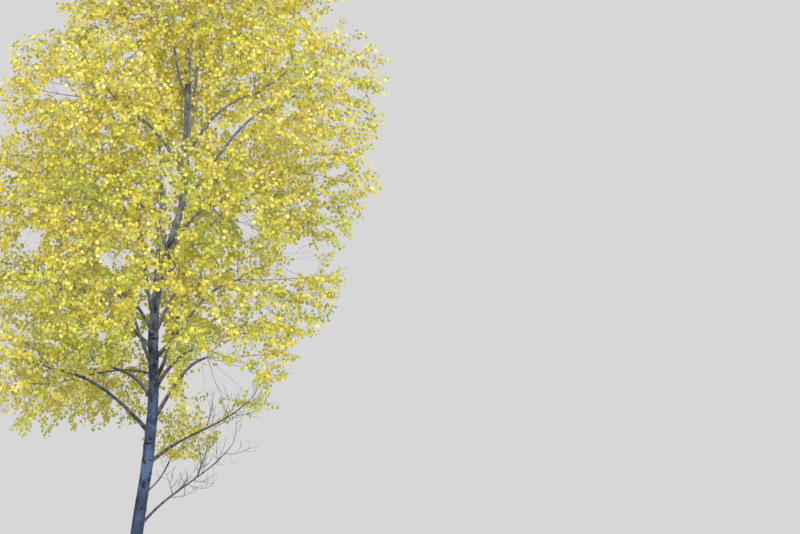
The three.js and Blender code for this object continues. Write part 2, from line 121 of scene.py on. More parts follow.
# Boughs, as in the source
BOUGH_LENGTHS = 24  # straight lengths by which others keep clear of a bough
FOOT_PULL = 0.42  # how long a bough keeps the way of its foot, as a share of its length
TIP_PULL = 0.34  # and that of its tip
COLLAR_SHARE = 0.45  # how much thicker its foot is
COLLAR_LENGTH = 0.07  # share of its length over which that fades
BURIED_SHARE = 0.9  # of the stem's radius, within which a bough is taken as in the stem
SEAT_GAP = 0.3
CLEAR = 4  # least room between limbs
FOOT_STAGGER = 600  # height over which the feet of a tier's boughs are spread
STAGGER_START = 0.1
FOOT_STEP = 40  # how far a foot moves up or down at each try
FOOT_TRIES = 24
GOLDEN = 0.618
BARE_LIFT = 400  # how much higher than straight on a bare limb's tip points

# Crown tiers, as in the source: the height and middle of the ring on which the masses lie, its radius and
# tilt, the first azimuth and the step to the next in degrees from +X towards +Y, the number and radius of
# the masses, how far below them their boughs leave the stem and how steeply in degrees, and the radii of
# the boughs
TIERS = [
    dict(name="low", z=4850, x=300, ring=1300, tilt=150, first=200, step=-80, count=4,
         size=920, drop=700, rise=48, foot=27, tip=15),
    dict(name="lower", z=5700, x=520, ring=1350, tilt=60, first=185, step=-60, count=6,
         size=960, drop=900, rise=42, foot=24, tip=14),
    dict(name="middle", z=6850, x=720, ring=1500, tilt=0, first=180, step=-60, count=6,
         size=1000, drop=1000, rise=45, foot=24, tip=14),
    dict(name="upper", z=8000, x=1090, ring=1640, tilt=0, first=160, step=-72, count=5,
         size=950, drop=1180, rise=52, foot=21, tip=12),
    dict(name="high", z=9080, x=1090, ring=880, tilt=0, first=200, step=-90, count=4,
         size=900, drop=1200, rise=60, foot=16, tip=10),
]
TIER_JITTER = 130  # how far a mass may lie off its place on the ring
ENTRY_SHARE = 0.42  # how far from a mass's middle its bough's tip lies, in radii of the mass
ENTRY_HEIGHT = 0.7  # share of the way up from the bough's foot to the mass at which the bough comes in
LEADER = dict(
    foot=5480, tip_at=[600, -230, 7380], rise=84, radii=[34, 16], middle=[520, -160, 7960], size=720,
)
SHOOT = dict(
    foot=3180, tip_at=[700, 300, 3560], rise=25, radii=[13, 9], middle=[860, 330, 3900], size=470,
)
BARE = [
    dict(name="bough_bare_right", foot=2760, tip_at=[1440, -240, 3760], rise=52, radii=[18, 5]),
    dict(name="bough_bare_long", foot=3528, tip_at=[1644, -120, 4296], rise=44, radii=[22, 6]),
    dict(name="bough_bare_left", foot=4620, tip_at=[-980, -560, 4560], rise=18, radii=[15, 4]),
]
BARE_NAMES = {plan["name"] for plan in BARE}
TOP_MASS = dict(middle=[1150, 10, 10000], size=850)
SIDES = ["right", "back_right", "back", "back_left", "left", "front_left", "front", "front_right"]

# Openings of the crown
GAPS = np.array([  # x, z, half the width and half the height of each opening that the view shows
    [1350, 4560, 430, 420],
    [20, 6000, 280, 90],
    [-960, 6270, 120, 150],
    [1650, 6420, 150, 300],
    [2280, 6000, 300, 260],
    [-570, 8040, 230, 150],
])
STEM_VIEW_TOP = 5700  # below this height the view shows the stem
STEM_VIEW_WIDE = 190  # half the width that the masses leave open before it
STEM_WINDOWS = ((6180, 6860), (7480, 8140))  # heights between which the view shows the stem again
BOUGH_WINDOWS = {  # and the shares of some boughs' lengths
    "bough_upper_front_left": (0.30, 0.80),
    "bough_upper_front_right": (0.45, 1.0),
    "bough_middle_front_right": (0.50, 1.0),
    "bough_upper_right": (0.35, 0.75),
    "bough_high_left": (0.05, 0.45),
    "bough_middle_left": (0.55, 1.0),
}
WINDOW_WIDE = 75  # half the width that the finer growth leaves open there before the stem
NARROW_WINDOW = 50  # and before a bough
GAP_RAGGED = 0.45  # how far the finer growth strays over the border of an opening, as a share
GAP_WAVES = (140, 420)  # least and greatest wavelength of that border
THIN_EDGE = 1.6  # how steeply a thin region sets in from its border
THINNED = np.array([  # x, z, half the width, half the height, and the share of sprays missing there
    [2880, 8400, 700, 900, 0.45],
    [2640, 6720, 500, 500, 0.30],
    [1560, 4560, 900, 700, 0.65],
    [-960, 4080, 600, 300, 0.30],
    [1560, 5640, 700, 600, 0.60],
    [1980, 7740, 900, 1000, 0.20],
])

# Main twigs of a mass, as in the source
NODE_SPACING = 510  # least distance between the places that the twigs run to
NODE_LIMIT = 10  # most places in a mass
NODE_TRIES = 420
NODE_MARGIN = 110  # from a place to the border of its mass
NODE_OUTWARD = 0.36  # a place's distance from the middle goes as chance to this power
ROOT_SPACING = 255  # from a place to where the mass starts
PATH_WEIGHT = 0.45  # cost of the way back to the root, for its length
TURN_WEIGHT = 0.5  # cost of a turn
SHARPEST_TURN = 1.25  # as one less the cosine of the turn
TWIG_ROOM = 15  # radius that a twig needs beside a limb
STUB = 1.6  # length of a mass's first twig in radii of the limb's tip
CELL_GAP = 12  # between two masses
FOLIAGE_SEED = 1000

# Finer twigs, by the same rule carried on
KNOT_STEP = 120  # between the places along a main twig where finer ones can leave it
KNOT_WANDER = 9  # how far a main twig strays from its straight way at such a place
FINE_TRIES = 5200  # places tried in a mass
FINE_MARGIN = 25  # from a place to the border of its mass
FINE_RAGGED = 125  # how much deeper than that the crown's outside bites in
LEAF_CROSSING = 55  # how far a leaf may hang over the border of its mass
FINE_TWIG_GAP = 100  # from a fine place to a main twig
LONGEST_TWIG = 430
POCKET_LEVEL = -0.8  # where seeded waves fall below this, the crown is open
POCKET_SIZES = (360, 800)  # least and greatest wavelength of those waves
TIP_RADIUS = 1.5
GROWTH_POWER = 0.44  # a twig's radius grows with this power of the number of tips that it carries
TWIG_TAPER = 1.12  # how much thicker a twig is at its foot
TWIG_BEND = 0.6  # how much of its parent's direction a twig starts with
BRANCHLET_RADIUS = 4.2  # a twig thicker than this is a branchlet
BRANCHLET_SIDES = 7
BRANCHLET_RINGS = 7
TWIG_SIDES = 3
TWIG_RINGS = 4
MOST_TRIANGLES = 190_000  # in one piece

# Shoots of the limbs that have lost their leaves
SHOOTS = 15  # that leave a limb
SHOOT_FIRST = 0.3  # the share of the limb below which it has none
SHOOT_LENGTHS = (0.16, 0.30)  # least and greatest, in lengths of the limb
SHOOT_STEPS = 6
SHOOT_RISE = 0.16  # how strongly a shoot turns up at each step
SHOOT_WANDER = 0.13  # and how strongly it strays
SHOOT_SPREAD = 0.95  # how far a shoot turns away from what carries it
SHOOT_SHARES = (0.25, 0.55)  # length of a smaller shoot, in lengths of the one that carries it
SHORTEST_SHOOT = 90
SHOOT_RADIUS = 1.5
SHOOT_SIDES = 5

# Leaves
LEAFY_LOAD = 5  # a twig that carries more tips than this has shed its own leaves
BARE_TIPS = 0.05  # share of tips without leaves
LEAF_STEP = 17  # from one leaf to the next along a twig
STEP_CHANCE = 0.3  # share of a step by which a leaf strays back
LEAST_SHARE = 0.08  # of a twig's length, where the leaves end
OUTWARD = (0.3, 0.85)  # how far the last leaf's stalk and the others' turn out from the twig
ONWARD = (1.0, 0.45)  # and how far they point along it
STALK_SAG = 0.3  # and down
STALK_LENGTHS = (0.7, 1.25)  # least and greatest, in petioles
HANG_ON = 0.45  # how far a blade follows its stalk
HANG_DOWN = 0.7  # how far it hangs
HANG_CHANCE = 0.45  # and how far it strays
FACING = 0.55  # how far a blade faces out of the crown
FACING_FLAT = (1, 1, 0.3)  # more sideways than up
FACING_CHANCE = 0.75
NEARLY_UP = UP + 0.01  # never parallel to a twig
LEAF_ROOM = 7  # from a leaf to a limb
LEAF_SPREAD = 0.16  # share by which leaves differ in size
MOST_SPREADS = 2
LEAF_SIDES = 8
LEAF_SKEW = 0.12  # how much wider a leaf is near its stalk, as a share
LEAF_HALF_LENGTH = 0.46  # in widths, as the next two
LEAF_POINT = 0.07
LEAF_FOLD = 0.12
LEAF_FACES = np.array([[0, 1, 2], [0, 2, 3], [0, 3, 4], [0, 4, 5], [0, 5, 6], [0, 6, 7]])  # both halves
STALK_FACES = np.array([[8, 9, 10], [8, 10, 11]])
PETIOLE_WIDTH = 1.7
PETIOLE_SINK = 2.5  # how far a stalk runs on under its blade

# Ripeness of the leaves, about 0, by which the tints are dealt out
RIPENESS_WAVES = 0.38  # how much of it goes in slow waves through the crown
RIPENESS_SIZES = (900, 2400)  # least and greatest wavelength of those waves
MIDDLE_HEIGHT = 6500  # where it is about 0
RIPENING = 1.6  # how strongly it changes with height, from green below to straw above
SPRAY_CHANCE = 0.5  # how much is each spray's own
LEAF_CHANCE = 0.35  # and each leaf's own
TINT_STEPS = {"green": -1.35, "lime": -0.5, "lemon": 0.6, "straw": 1.5, "gold": math.inf}  # the most of each

# Stem and bough surfaces. A lattice is its columns round the limb, the height of a row, and its seed.
STEM_COLUMNS = 72
STEM_ROWS = 900
BARK_WAVES = ((2.6, (5, 260, 1)), (1.3, (11, 80, 2)), (0.7, (9, 24, 3)))  # depths and lattices
FURROW_LATTICE = (15, 190, 4)
FURROW_DEPTH = 7
FURROW_FADE = 620  # height over which the furrows of the foot fade
FURROW_SHARPNESS = 5  # the power that makes them narrow
FOOT_LATTICE = (13, 120, 5)
FOOT_DARKNESS = 0.5
FOOT_FADE = 420  # height over which the darkness of the foot fades
BOUGH_COLUMNS = 16
BOUGH_ROWS = 56
BOUGH_WAVES = ((0.05, 5, 90), (0.03, 7, 30))  # depths in radii, lattice columns and row heights
RING_SCARS = 7
RING_SPAN = (0.1, 0.95)  # least and greatest share of the bough's length where they sit
RING_SWELL = 0.09  # in radii
RING_HEIGHT = 9

# Scars of the stem
SCARS = 90
SCAR_HEIGHTS = (300, 9000)  # least and greatest height of a scar
SCAR_WIDTHS = (15, 34)  # least and greatest half width of a scar
SCAR_SHAPES = (0.6, 1.2)  # and its height in widths
SCAR_LATTICE = (9, 45, 6)
SCAR_STRAY = 9  # how far the scars' outlines waver
BOUGH_SCAR = (1.1, 0.55)  # half width and half height of the scar over a bough, in radii of its foot
SCAR_SWELL = 0.16  # how far the bark swells about a scar, in half widths of the scar
SCAR_DENT = 0.08  # and how deep the scar is
SWELL_WIDE = 1.9  # half width of that swelling, in half widths of the scar
SWELL_TALL = 3.2  # and its half height in half heights
BROW_LIFT = 1.7  # height of the brow over a scar, in half heights of the scar
BROW_DROOP = 0.6  # how steeply its ends droop
BROW_THICK = 0.4  # its half thickness in half heights of the scar
BROW_WIDE = 1.5  # and its half width in half widths
BROW_DARKNESS = 0.8
COLLARS = ((3790, 4.4), (5060, 5.0), (2350, 5.2), (3000, 1.3), (4400, 2.0))  # height and turn of arcs
COLLAR_HALF_WIDTH = 62
COLLAR_HALF_HEIGHT = 11
SEEN_SCARS = [  # height, turn and half width of large scars that the view shows
    (3290, 4.55, 25), (3010, 4.95, 18), (3560, 4.25, 17), (3850, 4.75, 21),
    (4320, 4.5, 16), (4720, 5.0, 20), (5100, 4.3, 22), (5420, 4.75, 28),
]
SEEN_TONES = (  # height and strength of pale or dark bands
    (2760, -0.8), (3120, -0.8), (3540, 1.0), (3850, -0.6), (4200, 0.5), (4800, -0.5),
)
TONE_HEIGHT = 170  # half height of such a band


# Finishes of the barks

class Lumps(NamedTuple):
    """A pattern of lumps about grain millimetres wide, with their detail, stretched along the axes."""
    grain: float
    detail: float
    stretch: tuple = (1, 1, 1)


class Onset(NamedTuple):
    """Where a finish sets in: none where its source is at low, full where it is at high, eased between.

    The source is lumps, the height in metres, or the name of a mark that the vertices hold.
    """
    source: object
    low: float
    high: float


BLOTCHES = Onset(Lumps(85, 5.0, (1, 1, 0.6)), 0.44, 0.60)
PALE_BANDS = Onset("tone", 0.0, 1.0)
DARK_BANDS = Onset("tone", 0.0, -1.0)
BROWN_PATCHES = Onset(Lumps(75, 3.0, (1, 1, 0.5)), 0.50, 0.62)
PATCHY_WOOD = Onset("height", 3.6, 5.2)
YOUNG_WOOD = Onset("height", 4.5, 6.6)
OLD_WOOD = Onset("height", 2.7, 0.5)  # downwards
MOTTLES = Onset(Lumps(16, 5.0), 0.48, 0.66)
MOTTLE_SHARE = 0.55
# Real lenticels are 5 to 10 mm long. A pixel is 12 mm, so they are drawn larger and fewer than they are.
LENTICELS = Onset(Lumps(22, 2.0, (0.8, 0.8, 3.2)), 0.58, 0.67)
SCARRED = Onset("scar", 0.12, 0.75)
FRESH_SCARS = Onset("height", 11.0, 5.0)  # downwards
DUST = Onset(Lumps(70, 5.0), 0.44, 0.62)
# Painted highlight: the boughs are paler on top, where light from above falls, by their normals' upward share
PAINTED_TOP_HIGHLIGHT = Onset("upper", 0.1, 0.9)
PAINTED_TOP_HIGHLIGHT_SHARE = 0.7
LICHEN = Onset(Lumps(28, 5.0), 0.45, 0.60)
AGEING = Onset(Lumps(120, 2.0), 0.40, 0.60)  # lengths of older and younger twig
BLACK = (0, 0, 0)
WHITE = (1, 1, 1)

# Lens, floor and light
PHOTO_WIDTH = 800
PHOTO_HEIGHT = 534
STEM_PIXEL = (110, 760)  # where the stem's foot lies in the photograph's frame, below its lower edge
SENSOR_WIDTH = 36
FLOOR_RADIUS = 70  # metres
FLOOR_SIDES = 96
SUN_DIRECTION = (0.10, -0.74, 0.66)  # from the tree towards the sun


def linear(colour):
    """The linear colour of an sRGB hex value: each channel by the sRGB curve."""
    channels = [int(colour[i:i + 2], 16) / 255 for i in (1, 3, 5)]
    return [c / 12.92 if c <= 0.04045 else ((c + 0.055) / 1.055) ** 2.4 for c in channels]


def unit(vectors):
    """Vectors made one long."""
    return vectors / np.maximum(np.linalg.norm(vectors, axis=-1, keepdims=True), TINY)


def dot(a, b):
    """Sums of products along the last axis."""
    return (a * b).sum(-1)


# Random numbers and seeded waves

def series(seed):
    """Numbers from 0 to 1, the same for each seed as in the source: a linear congruential series."""
    state = (seed * 7919 + 12345) % 4294967296
    while True:
        state = (state * 1664525 + 1013904223) % 4294967296
        yield state / 4294967296


def any_direction(random):
    """A seeded direction: a turn about +Z, and a height spread evenly from -1 to 1."""
    turn = FULL_TURN * next(random)
    height = 2 * next(random) - 1
    flat = math.sqrt(1 - height ** 2)
    return np.array([flat * math.cos(turn), flat * math.sin(turn), height])


def any_directions(rng, count):
    """Directions spread evenly over the sphere."""
    return unit(rng.normal(size=(count, 3)))


def waves(points, sizes, seed):
    """Smooth seeded values about 0 with a spread of 1: sines along seeded directions, summed."""
    rng = np.random.default_rng(seed)
    lengths = rng.uniform(*sizes, WAVES)
    along = any_directions(rng, WAVES) * (FULL_TURN / lengths)[:, None]
    phases = rng.uniform(0, FULL_TURN, WAVES)
    return np.sin(points @ along.T + phases).sum(-1) / math.sqrt(WAVES / 2)


def lattice_noise(turn, height, columns, row_height, seed):
    """Smooth values from -1 to 1 that close round a limb: seeded values on a lattice, eased between."""
    rows = int(height.max() / row_height) + 2
    values = np.random.default_rng(seed).uniform(-1, 1, (rows, columns))
    u = turn / FULL_TURN * columns
    v = height / row_height
    left, low = np.floor(u).astype(int), np.floor(v).astype(int)
    ease = lambda x: x * x * (3 - 2 * x)
    s, t = ease(u - left), ease(v - low)
    right = (left + 1) % columns
    left = left % columns
    lower = values[low, left] * (1 - s) + values[low, right] * s
    upper = values[low + 1, left] * (1 - s) + values[low + 1, right] * s
    return lower * (1 - t) + upper * t


# The stem's line and taper

def stem_points():
    """The stem's smooth line: a centripetal Catmull-Rom curve, run on straight at its two ends."""
    line = np.array(STEM_LINE, float)
    line = np.vstack([2 * line[0] - line[1], line, 2 * line[-1] - line[-2]])
    steps = np.linspace(0, len(STEM_LINE) - 1, STEM_STEPS + 1)
    span = np.minimum(steps.astype(int), len(STEM_LINE) - 2)
    t = (steps - span)[:, None]
    before, start, end, after = (line[span + i] for i in range(4))
    d0, d1, d2 = (
        np.linalg.norm(b - a, axis=1, keepdims=True) ** 0.5
        for a, b in ((before, start), (start, end), (end, after))
    )
    leave = ((start - before) / d0 - (end - before) / (d0 + d1) + (end - start) / d1) * d1
    arrive = ((end - start) / d1 - (after - start) / (d1 + d2) + (after - end) / d2) * d1
    square = 3 * (end - start) - 2 * leave - arrive
    cube = 2 * (start - end) + leave + arrive
    return start + leave * t + square * t ** 2 + cube * t ** 3


STEM = stem_points()


def stem_at(z):
    """The stem's middle at a height, on the straight between two points of its line."""
    z = np.asarray(z, float)
    return np.stack([np.interp(z, STEM[:, 2], STEM[:, 0]), np.interp(z, STEM[:, 2], STEM[:, 1]), z], -1)


def stem_radius(z):
    """The stem's radius without its flare: a power of the height that is left."""
    return BOLE_RADIUS * (1 - np.asarray(z) / STEM_TAPER_TOP) ** TAPER_POWER


def flare_at(z):
    """How much the root flare adds: it falls off exponentially with height."""
    return ROOT_FLARE * np.exp(-np.asarray(z) / FLARE_HEIGHT)


# Limbs as chains of straight lengths

def gaps_between(p, q, r, s):
    """The least distance between each straight length p to q and each r to s, as a table.

    The nearest places on the two lines are solved for and held to the lengths' ends, as in the source.
    """
    a, b = q - p, s - r
    c = p[:, None] - r
    aa, bb = dot(a, a)[:, None], dot(b, b)[None]
    ab = a @ b.T
    ac = np.einsum("nmk,nk->nm", c, a)
    bc = np.einsum("nmk,mk->nm", c, b)
    flat = aa * bb - ab ** 2
    skew = flat > TINY
    first = np.where(skew, np.clip((ab * bc - ac * bb) / np.where(skew, flat, 1), 0, 1), 0)
    u = np.clip((ab * first + bc) / bb, 0, 1)
    t = np.clip((ab * u - ac) / aa, 0, 1)
    return np.linalg.norm(c + t[..., None] * a[:, None] - u[..., None] * b, axis=-1)


class Limbs:
    """Every limb's straight lengths with their radii, to measure how near a thing comes to them."""

    def __init__(self):
        self.names = np.empty(0, object)
        self.starts = np.empty((0, 3))
        self.ends = np.empty((0, 3))
        self.radii = np.empty(0)

    def add(self, name, points, radii):
        """Adds a limb by the points of its line. Each length is as thick as its thicker end."""
        count = len(points) - 1
        self.names = np.append(self.names, [name] * count)
        self.starts = np.vstack([self.starts, points[:-1]])
        self.ends = np.vstack([self.ends, points[1:]])
        self.radii = np.append(self.radii, np.maximum(radii[:-1], radii[1:]))

    def room(self, p, q, radius, leave_out=None):
        """The least room from each straight length p to q, of a radius, to the limbs' surfaces."""
        use = self.names != leave_out
        if not use.any():
            return np.full(len(p), np.inf)
        gaps = gaps_between(p, q, self.starts[use], self.ends[use])
        return (gaps - self.radii[use]).min(1) - radius

    def some(self, use):
        """Some of the lengths."""
        found = Limbs()
        found.names, found.radii = self.names[use], self.radii[use]
        found.starts, found.ends = self.starts[use], self.ends[use]
        return found

    def near(self, middle, reach):
        """The lengths that come within reach of a place."""
        away = np.linalg.norm(self.starts - middle, axis=1) - np.linalg.norm(self.ends - self.starts, axis=1)
        return self.some(away - self.radii < reach)

    def without(self, name):
        """The lengths of all other limbs."""
        return self.some(self.names != name)


@dataclass
class Bough:
    """A limb on one smooth curve, given by its four control points."""
    name: str
    path: np.ndarray
    radii: tuple
    foot_z: float

    @property
    def tip(self):
        """Where it ends."""
        return self.path[3]

    @property
    def direction(self):
        """The way it points there."""
        return unit(self.path[3] - self.path[2])


@dataclass
class Mass:
    """A mass of leaves: a ball of space, and the limb that carries it."""
    name: str
    middle: np.ndarray
    size: float
    limb: str
    tip: np.ndarray
    direction: np.ndarray
    tip_radius: float

    @property
    def root(self):
        """Where its twigs start to branch, just past the limb's tip."""
        return self.tip + self.direction * (SEAT_GAP + STUB * self.tip_radius)


@dataclass
class Crown:
    """The limbs, and the masses that they carry."""
    limbs: Limbs = field(default_factory=Limbs)
    boughs: list = field(default_factory=list)
    masses: list = field(default_factory=list)


def bezier(path, t):
    """Points of a cubic Bezier curve at shares t: its control points weighed by the Bernstein terms."""
    t = np.asarray(t, float)[..., None]
    a, b, c, d = path
    return a * (1 - t) ** 3 + 3 * b * t * (1 - t) ** 2 + 3 * c * t ** 2 * (1 - t) + d * t ** 3


def bough_radius(t, radii):
    """A bough's radius at a share of its length: from foot to tip by a power, with a collar at the foot."""
    foot, tip = radii
    return (foot + (tip - foot) * t ** TAPER_POWER) * (1 + COLLAR_SHARE * np.exp(-t / COLLAR_LENGTH))


def bough_path(foot_z, rise, tip, heading):
    """The control points of a bough: it leaves the stem at a slope and meets its tip on a heading."""
    foot = stem_at(foot_z)
    azimuth = math.atan2(tip[1] - foot[1], tip[0] - foot[0])
    slope = math.radians(rise)
    flat = math.cos(slope)
    out = np.array([math.cos(azimuth) * flat, math.sin(azimuth) * flat, math.sin(slope)])
    length = np.linalg.norm(tip - foot)
    return np.array([foot, foot + out * FOOT_PULL * length, tip - heading * TIP_PULL * length, tip])


def out_of_stem(points):
    """Whether points lie outside most of the stem's thickness."""
    middle = stem_at(points[:, 2])
    return np.linalg.norm((points - middle)[:, :2], axis=1) > BURIED_SHARE * stem_radius(points[:, 2])


def set_bough(crown, name, foot_z, tip, towards, rise, radii):
    """Sets a bough as near its wanted foot as the limbs that are there leave room for."""
    heading = unit(towards - tip)
    shares = np.linspace(0, 1, BOUGH_LENGTHS + 1)
    for attempt in range(FOOT_TRIES):
        side = -1 if attempt % 2 else 1
        z = foot_z + side * math.ceil(attempt / 2) * FOOT_STEP
        path = bough_path(z, rise, tip, heading)
        points = bezier(path, shares)
        thick = bough_radius(shares, radii)
        room = crown.limbs.room(points[:-1], points[1:], thick[:-1], "trunk")
        if (out_of_stem(points[1:]) & (room <= CLEAR)).any():
            continue
        crown.limbs.add(name, points, thick)
        bough = Bough(name, path, tuple(radii), z)
        crown.boughs.append(bough)
        return bough
    raise RuntimeError(f"{name} finds no clear way from the stem")


def side_name(azimuth):
    """The side of the crown that an azimuth points to."""
    return SIDES[round(azimuth % 360 / 360 * len(SIDES)) % len(SIDES)]


def add_mass(crown, name, middle, size, bough):
    """A mass that a bough carries on its tip."""
    mass = Mass(name, middle, size, bough.name, bough.tip, bough.direction, bough.radii[1])
    crown.masses.append(mass)


def add_leafy_limb(crown, name, mass_name, plan):
    """A single limb that carries a mass of its own."""
    middle = np.array(plan["middle"], float)
    tip = np.array(plan["tip_at"], float)
    bough = set_bough(crown, name, plan["foot"], tip, middle, plan["rise"], plan["radii"])
    add_mass(crown, mass_name, middle, plan["size"], bough)


def plan_tier_bough(tier, level, k, random):
    """A tier's mass on its ring round the stem, a little off its place by the seed, and its bough's ends."""
    azimuth = tier["first"] + tier["step"] * k
    turn = math.radians(azimuth)
    wobble = np.array([(2 * next(random) - 1) * TIER_JITTER for _ in range(3)])
    east, north = math.cos(turn), math.sin(turn)
    ring = np.array([tier["ring"] * east, tier["ring"] * north, tier["tilt"] * east])
    middle = np.array([tier["x"], 0, tier["z"]]) + ring + wobble
    foot_z = tier["z"] - tier["drop"] + FOOT_STAGGER * (((level + k) * GOLDEN + STAGGER_START) % 1 - 0.5)
    inward = unit(stem_at(foot_z + (middle[2] - foot_z) * ENTRY_HEIGHT) - middle)
    tip = middle + inward * ENTRY_SHARE * tier["size"]
    name = f"{tier['name']}_{side_name(azimuth)}"
    radii = (tier["foot"], tier["tip"])
    return name, middle, foot_z, tip, radii


def build_crown():
    """All limbs and masses, in the source's order."""
    crown = Crown()
    points = stem_at(STEM_TOP * np.arange(STEM_LENGTHS + 1) / STEM_LENGTHS)
    crown.limbs.add("trunk", points, stem_radius(points[:, 2]) + flare_at(points[:, 2]))
    add_leafy_limb(crown, "second_leader", "inner_leader", LEADER)
    add_leafy_limb(crown, "bough_shoot", "low_shoot", SHOOT)
    for plan in BARE:
        tip = np.array(plan["tip_at"], float)
        onward = 2 * tip - stem_at(plan["foot"]) + UP * BARE_LIFT
        set_bough(crown, plan["name"], plan["foot"], tip, onward, plan["rise"], plan["radii"])
    for level, tier in enumerate(TIERS):
        random = series(level + 1)
        for k in range(tier["count"]):
            name, middle, foot_z, tip, radii = plan_tier_bough(tier, level, k, random)
            bough = set_bough(crown, f"bough_{name}", foot_z, tip, middle, tier["rise"], radii)
            add_mass(crown, name, middle, tier["size"], bough)
    middle = np.array(TOP_MASS["middle"], float)
    top_radius = float(stem_radius(STEM_TOP))
    top = Mass("top", middle, TOP_MASS["size"], "trunk", stem_at(STEM_TOP), UP, top_radius)
    crown.masses.append(top)
    return crown


# The space of a mass

def depth_in(crown, mass, points):
    """How far places lie inside a mass's own space: a ball, cut flat towards each neighbour."""
    depth = mass.size - np.linalg.norm(points - mass.middle, axis=-1)
    own = dot(points - mass.middle, points - mass.middle) - mass.size ** 2
    for other in crown.masses:
        apart = np.linalg.norm(mass.middle - other.middle)
        if other is mass or apart > mass.size + other.size:
            continue
        theirs = dot(points - other.middle, points - other.middle) - other.size ** 2
        depth = np.minimum(depth, (theirs - own) / (2 * apart) - CELL_GAP / 2)
    return depth


def region_squares(points, regions):
    """For each place and region the squared distance in X and Z, in the region's half width and height."""
    x, z = points[..., 0, None], points[..., 2, None]
    return ((x - regions[:, 0]) / regions[:, 2]) ** 2 + ((z - regions[:, 1]) / regions[:, 3]) ** 2


def is_open(points, ragged=0.0):
    """Whether places lie in an opening of the crown, or hide the low part of the stem."""
    edge = 1 + ragged * waves(points, GAP_WAVES, FOLIAGE_SEED + 2)
    gaping = (region_squares(points, GAPS) < edge[..., None]).any(-1)
    return gaping | hides(points, STEM, 0, STEM_VIEW_TOP, STEM_VIEW_WIDE)


def hides(points, line, low, high, wide):
    """Whether places lie before a rising line between two heights, within half a width of it."""
    height = points[..., 2]
    middle_x, middle_y = (np.interp(height, line[:, 2], line[:, axis]) for axis in (0, 1))
    level = (height >= low) & (height <= high)
    return level & (points[..., 1] < middle_y) & (abs(points[..., 0] - middle_x) < wide)


def is_bare(crown, points):
    """Whether the finer growth stays away from places: ragged openings, and windows onto the limbs."""
    bare = is_open(points, GAP_RAGGED)
    for low, high in STEM_WINDOWS:
        bare |= hides(points, STEM, low, high, WINDOW_WIDE)
    for bough in crown.boughs:
        if bough.name in BOUGH_WINDOWS:
            line = bezier(bough.path, np.linspace(*BOUGH_WINDOWS[bough.name], BOUGH_LENGTHS))
            bare |= hides(points, line, line[0, 2], line[-1, 2], NARROW_WINDOW)
    return bare


def missing_share(points):
    """The share of sprays that is missing at places: full in the middle of a thin region, none outside."""
    inner = np.clip(THIN_EDGE * (1 - region_squares(points, THINNED)), 0, 1)
    return (inner * THINNED[:, 4]).max(-1)


# Twigs

class Growth:
    """A mass's twigs as a tree of places: where each is, its parent, its way, and the path to the root."""

    def __init__(self, root, direction):
        self.at = [root]
        self.parent = [-1]
        self.direction = [direction]
        self.path = [0.0]

    def add(self, at, parent):
        """Adds a place that its parent leads to, and says which it is."""
        way = at - self.at[parent]
        length = float(np.linalg.norm(way))
        self.at.append(at)
        self.parent.append(parent)
        self.direction.append(way / length)
        self.path.append(self.path[parent] + length)
        return len(self.at) - 1

    def loads(self):
        """The number of tips that each place carries."""
        loads = np.zeros(len(self.at), int)
        for node in range(len(self.at) - 1, 0, -1):
            loads[node] = max(1, loads[node])
            loads[self.parent[node]] += loads[node]
        return loads


def way_costs(growth, node, places, longest):
    """What it costs to join each place to a node: its length, more for a turn and for a long way back."""
    way = places - growth.at[node]
    length = np.maximum(np.linalg.norm(way, axis=1), TINY)
    turn = 1 - dot(way, growth.direction[node]) / length
    costs = length * (1 + TURN_WEIGHT * turn) + PATH_WEIGHT * growth.path[node]
    return np.where((turn > SHARPEST_TURN) | (length > longest), np.inf, costs)


def join_places(growth, places, limb, limbs, longest=math.inf):
    """Joins places to the growth one by one, each time by the cheapest way that is clear of the limbs."""
    table = np.full((len(growth.at) + len(places), len(places)), np.inf)
    for node in range(len(growth.at)):
        table[node] = way_costs(growth, node, places, longest)
    best = table.min(0)
    waiting = np.ones(len(places), bool)
    while np.isfinite(best).any():
        which = int(best.argmin())
        node = int(table[:, which].argmin())
        start, end = growth.at[node][None], places[which][None]
        exempt = limb if growth.parent[node] < 0 else None
        if limbs.room(start, end, TWIG_ROOM, exempt)[0] < CLEAR:
            table[node, which] = np.inf
            best[which] = table[:, which].min()
            continue
        made = growth.add(places[which], node)
        waiting[which] = False
        table[:, which] = np.inf
        table[made] = np.where(waiting, way_costs(growth, made, places, longest), np.inf)
        best = np.where(waiting, np.minimum(best, table[made]), np.inf)


def main_places(crown, mass, limbs, random):
    """The source's places of a mass: seeded points in its space that keep their distance."""
    found = []
    for _ in range(NODE_TRIES):
        if len(found) == NODE_LIMIT:
            break
        way = any_direction(random)
        at = mass.middle + way * mass.size * next(random) ** NODE_OUTWARD
        if depth_in(crown, mass, at) < NODE_MARGIN or is_open(at):
            continue
        if np.linalg.norm(at - mass.root) < ROOT_SPACING:
            continue
        if any(np.linalg.norm(at - other) < NODE_SPACING for other in found):
            continue
        if limbs.room(at[None], (at + UP)[None], TWIG_ROOM)[0] < CLEAR:
            continue
        found.append(at)
    return np.array(found)


def with_knots(main, rng):
    """The main twigs again, with places along each where finer twigs can leave it."""
    growth = Growth(main.at[0], main.direction[0])
    index = {0: 0}
    for node in range(1, len(main.at)):
        last = index[main.parent[node]]
        start, end = main.at[main.parent[node]], main.at[node]
        count = max(1, round(np.linalg.norm(end - start) / KNOT_STEP))
        for step in range(1, count + 1):
            stray = any_directions(rng, 1)[0] * KNOT_WANDER * (step < count)
            last = growth.add(start + (end - start) * step / count + stray, last)
        index[node] = last
    return growth


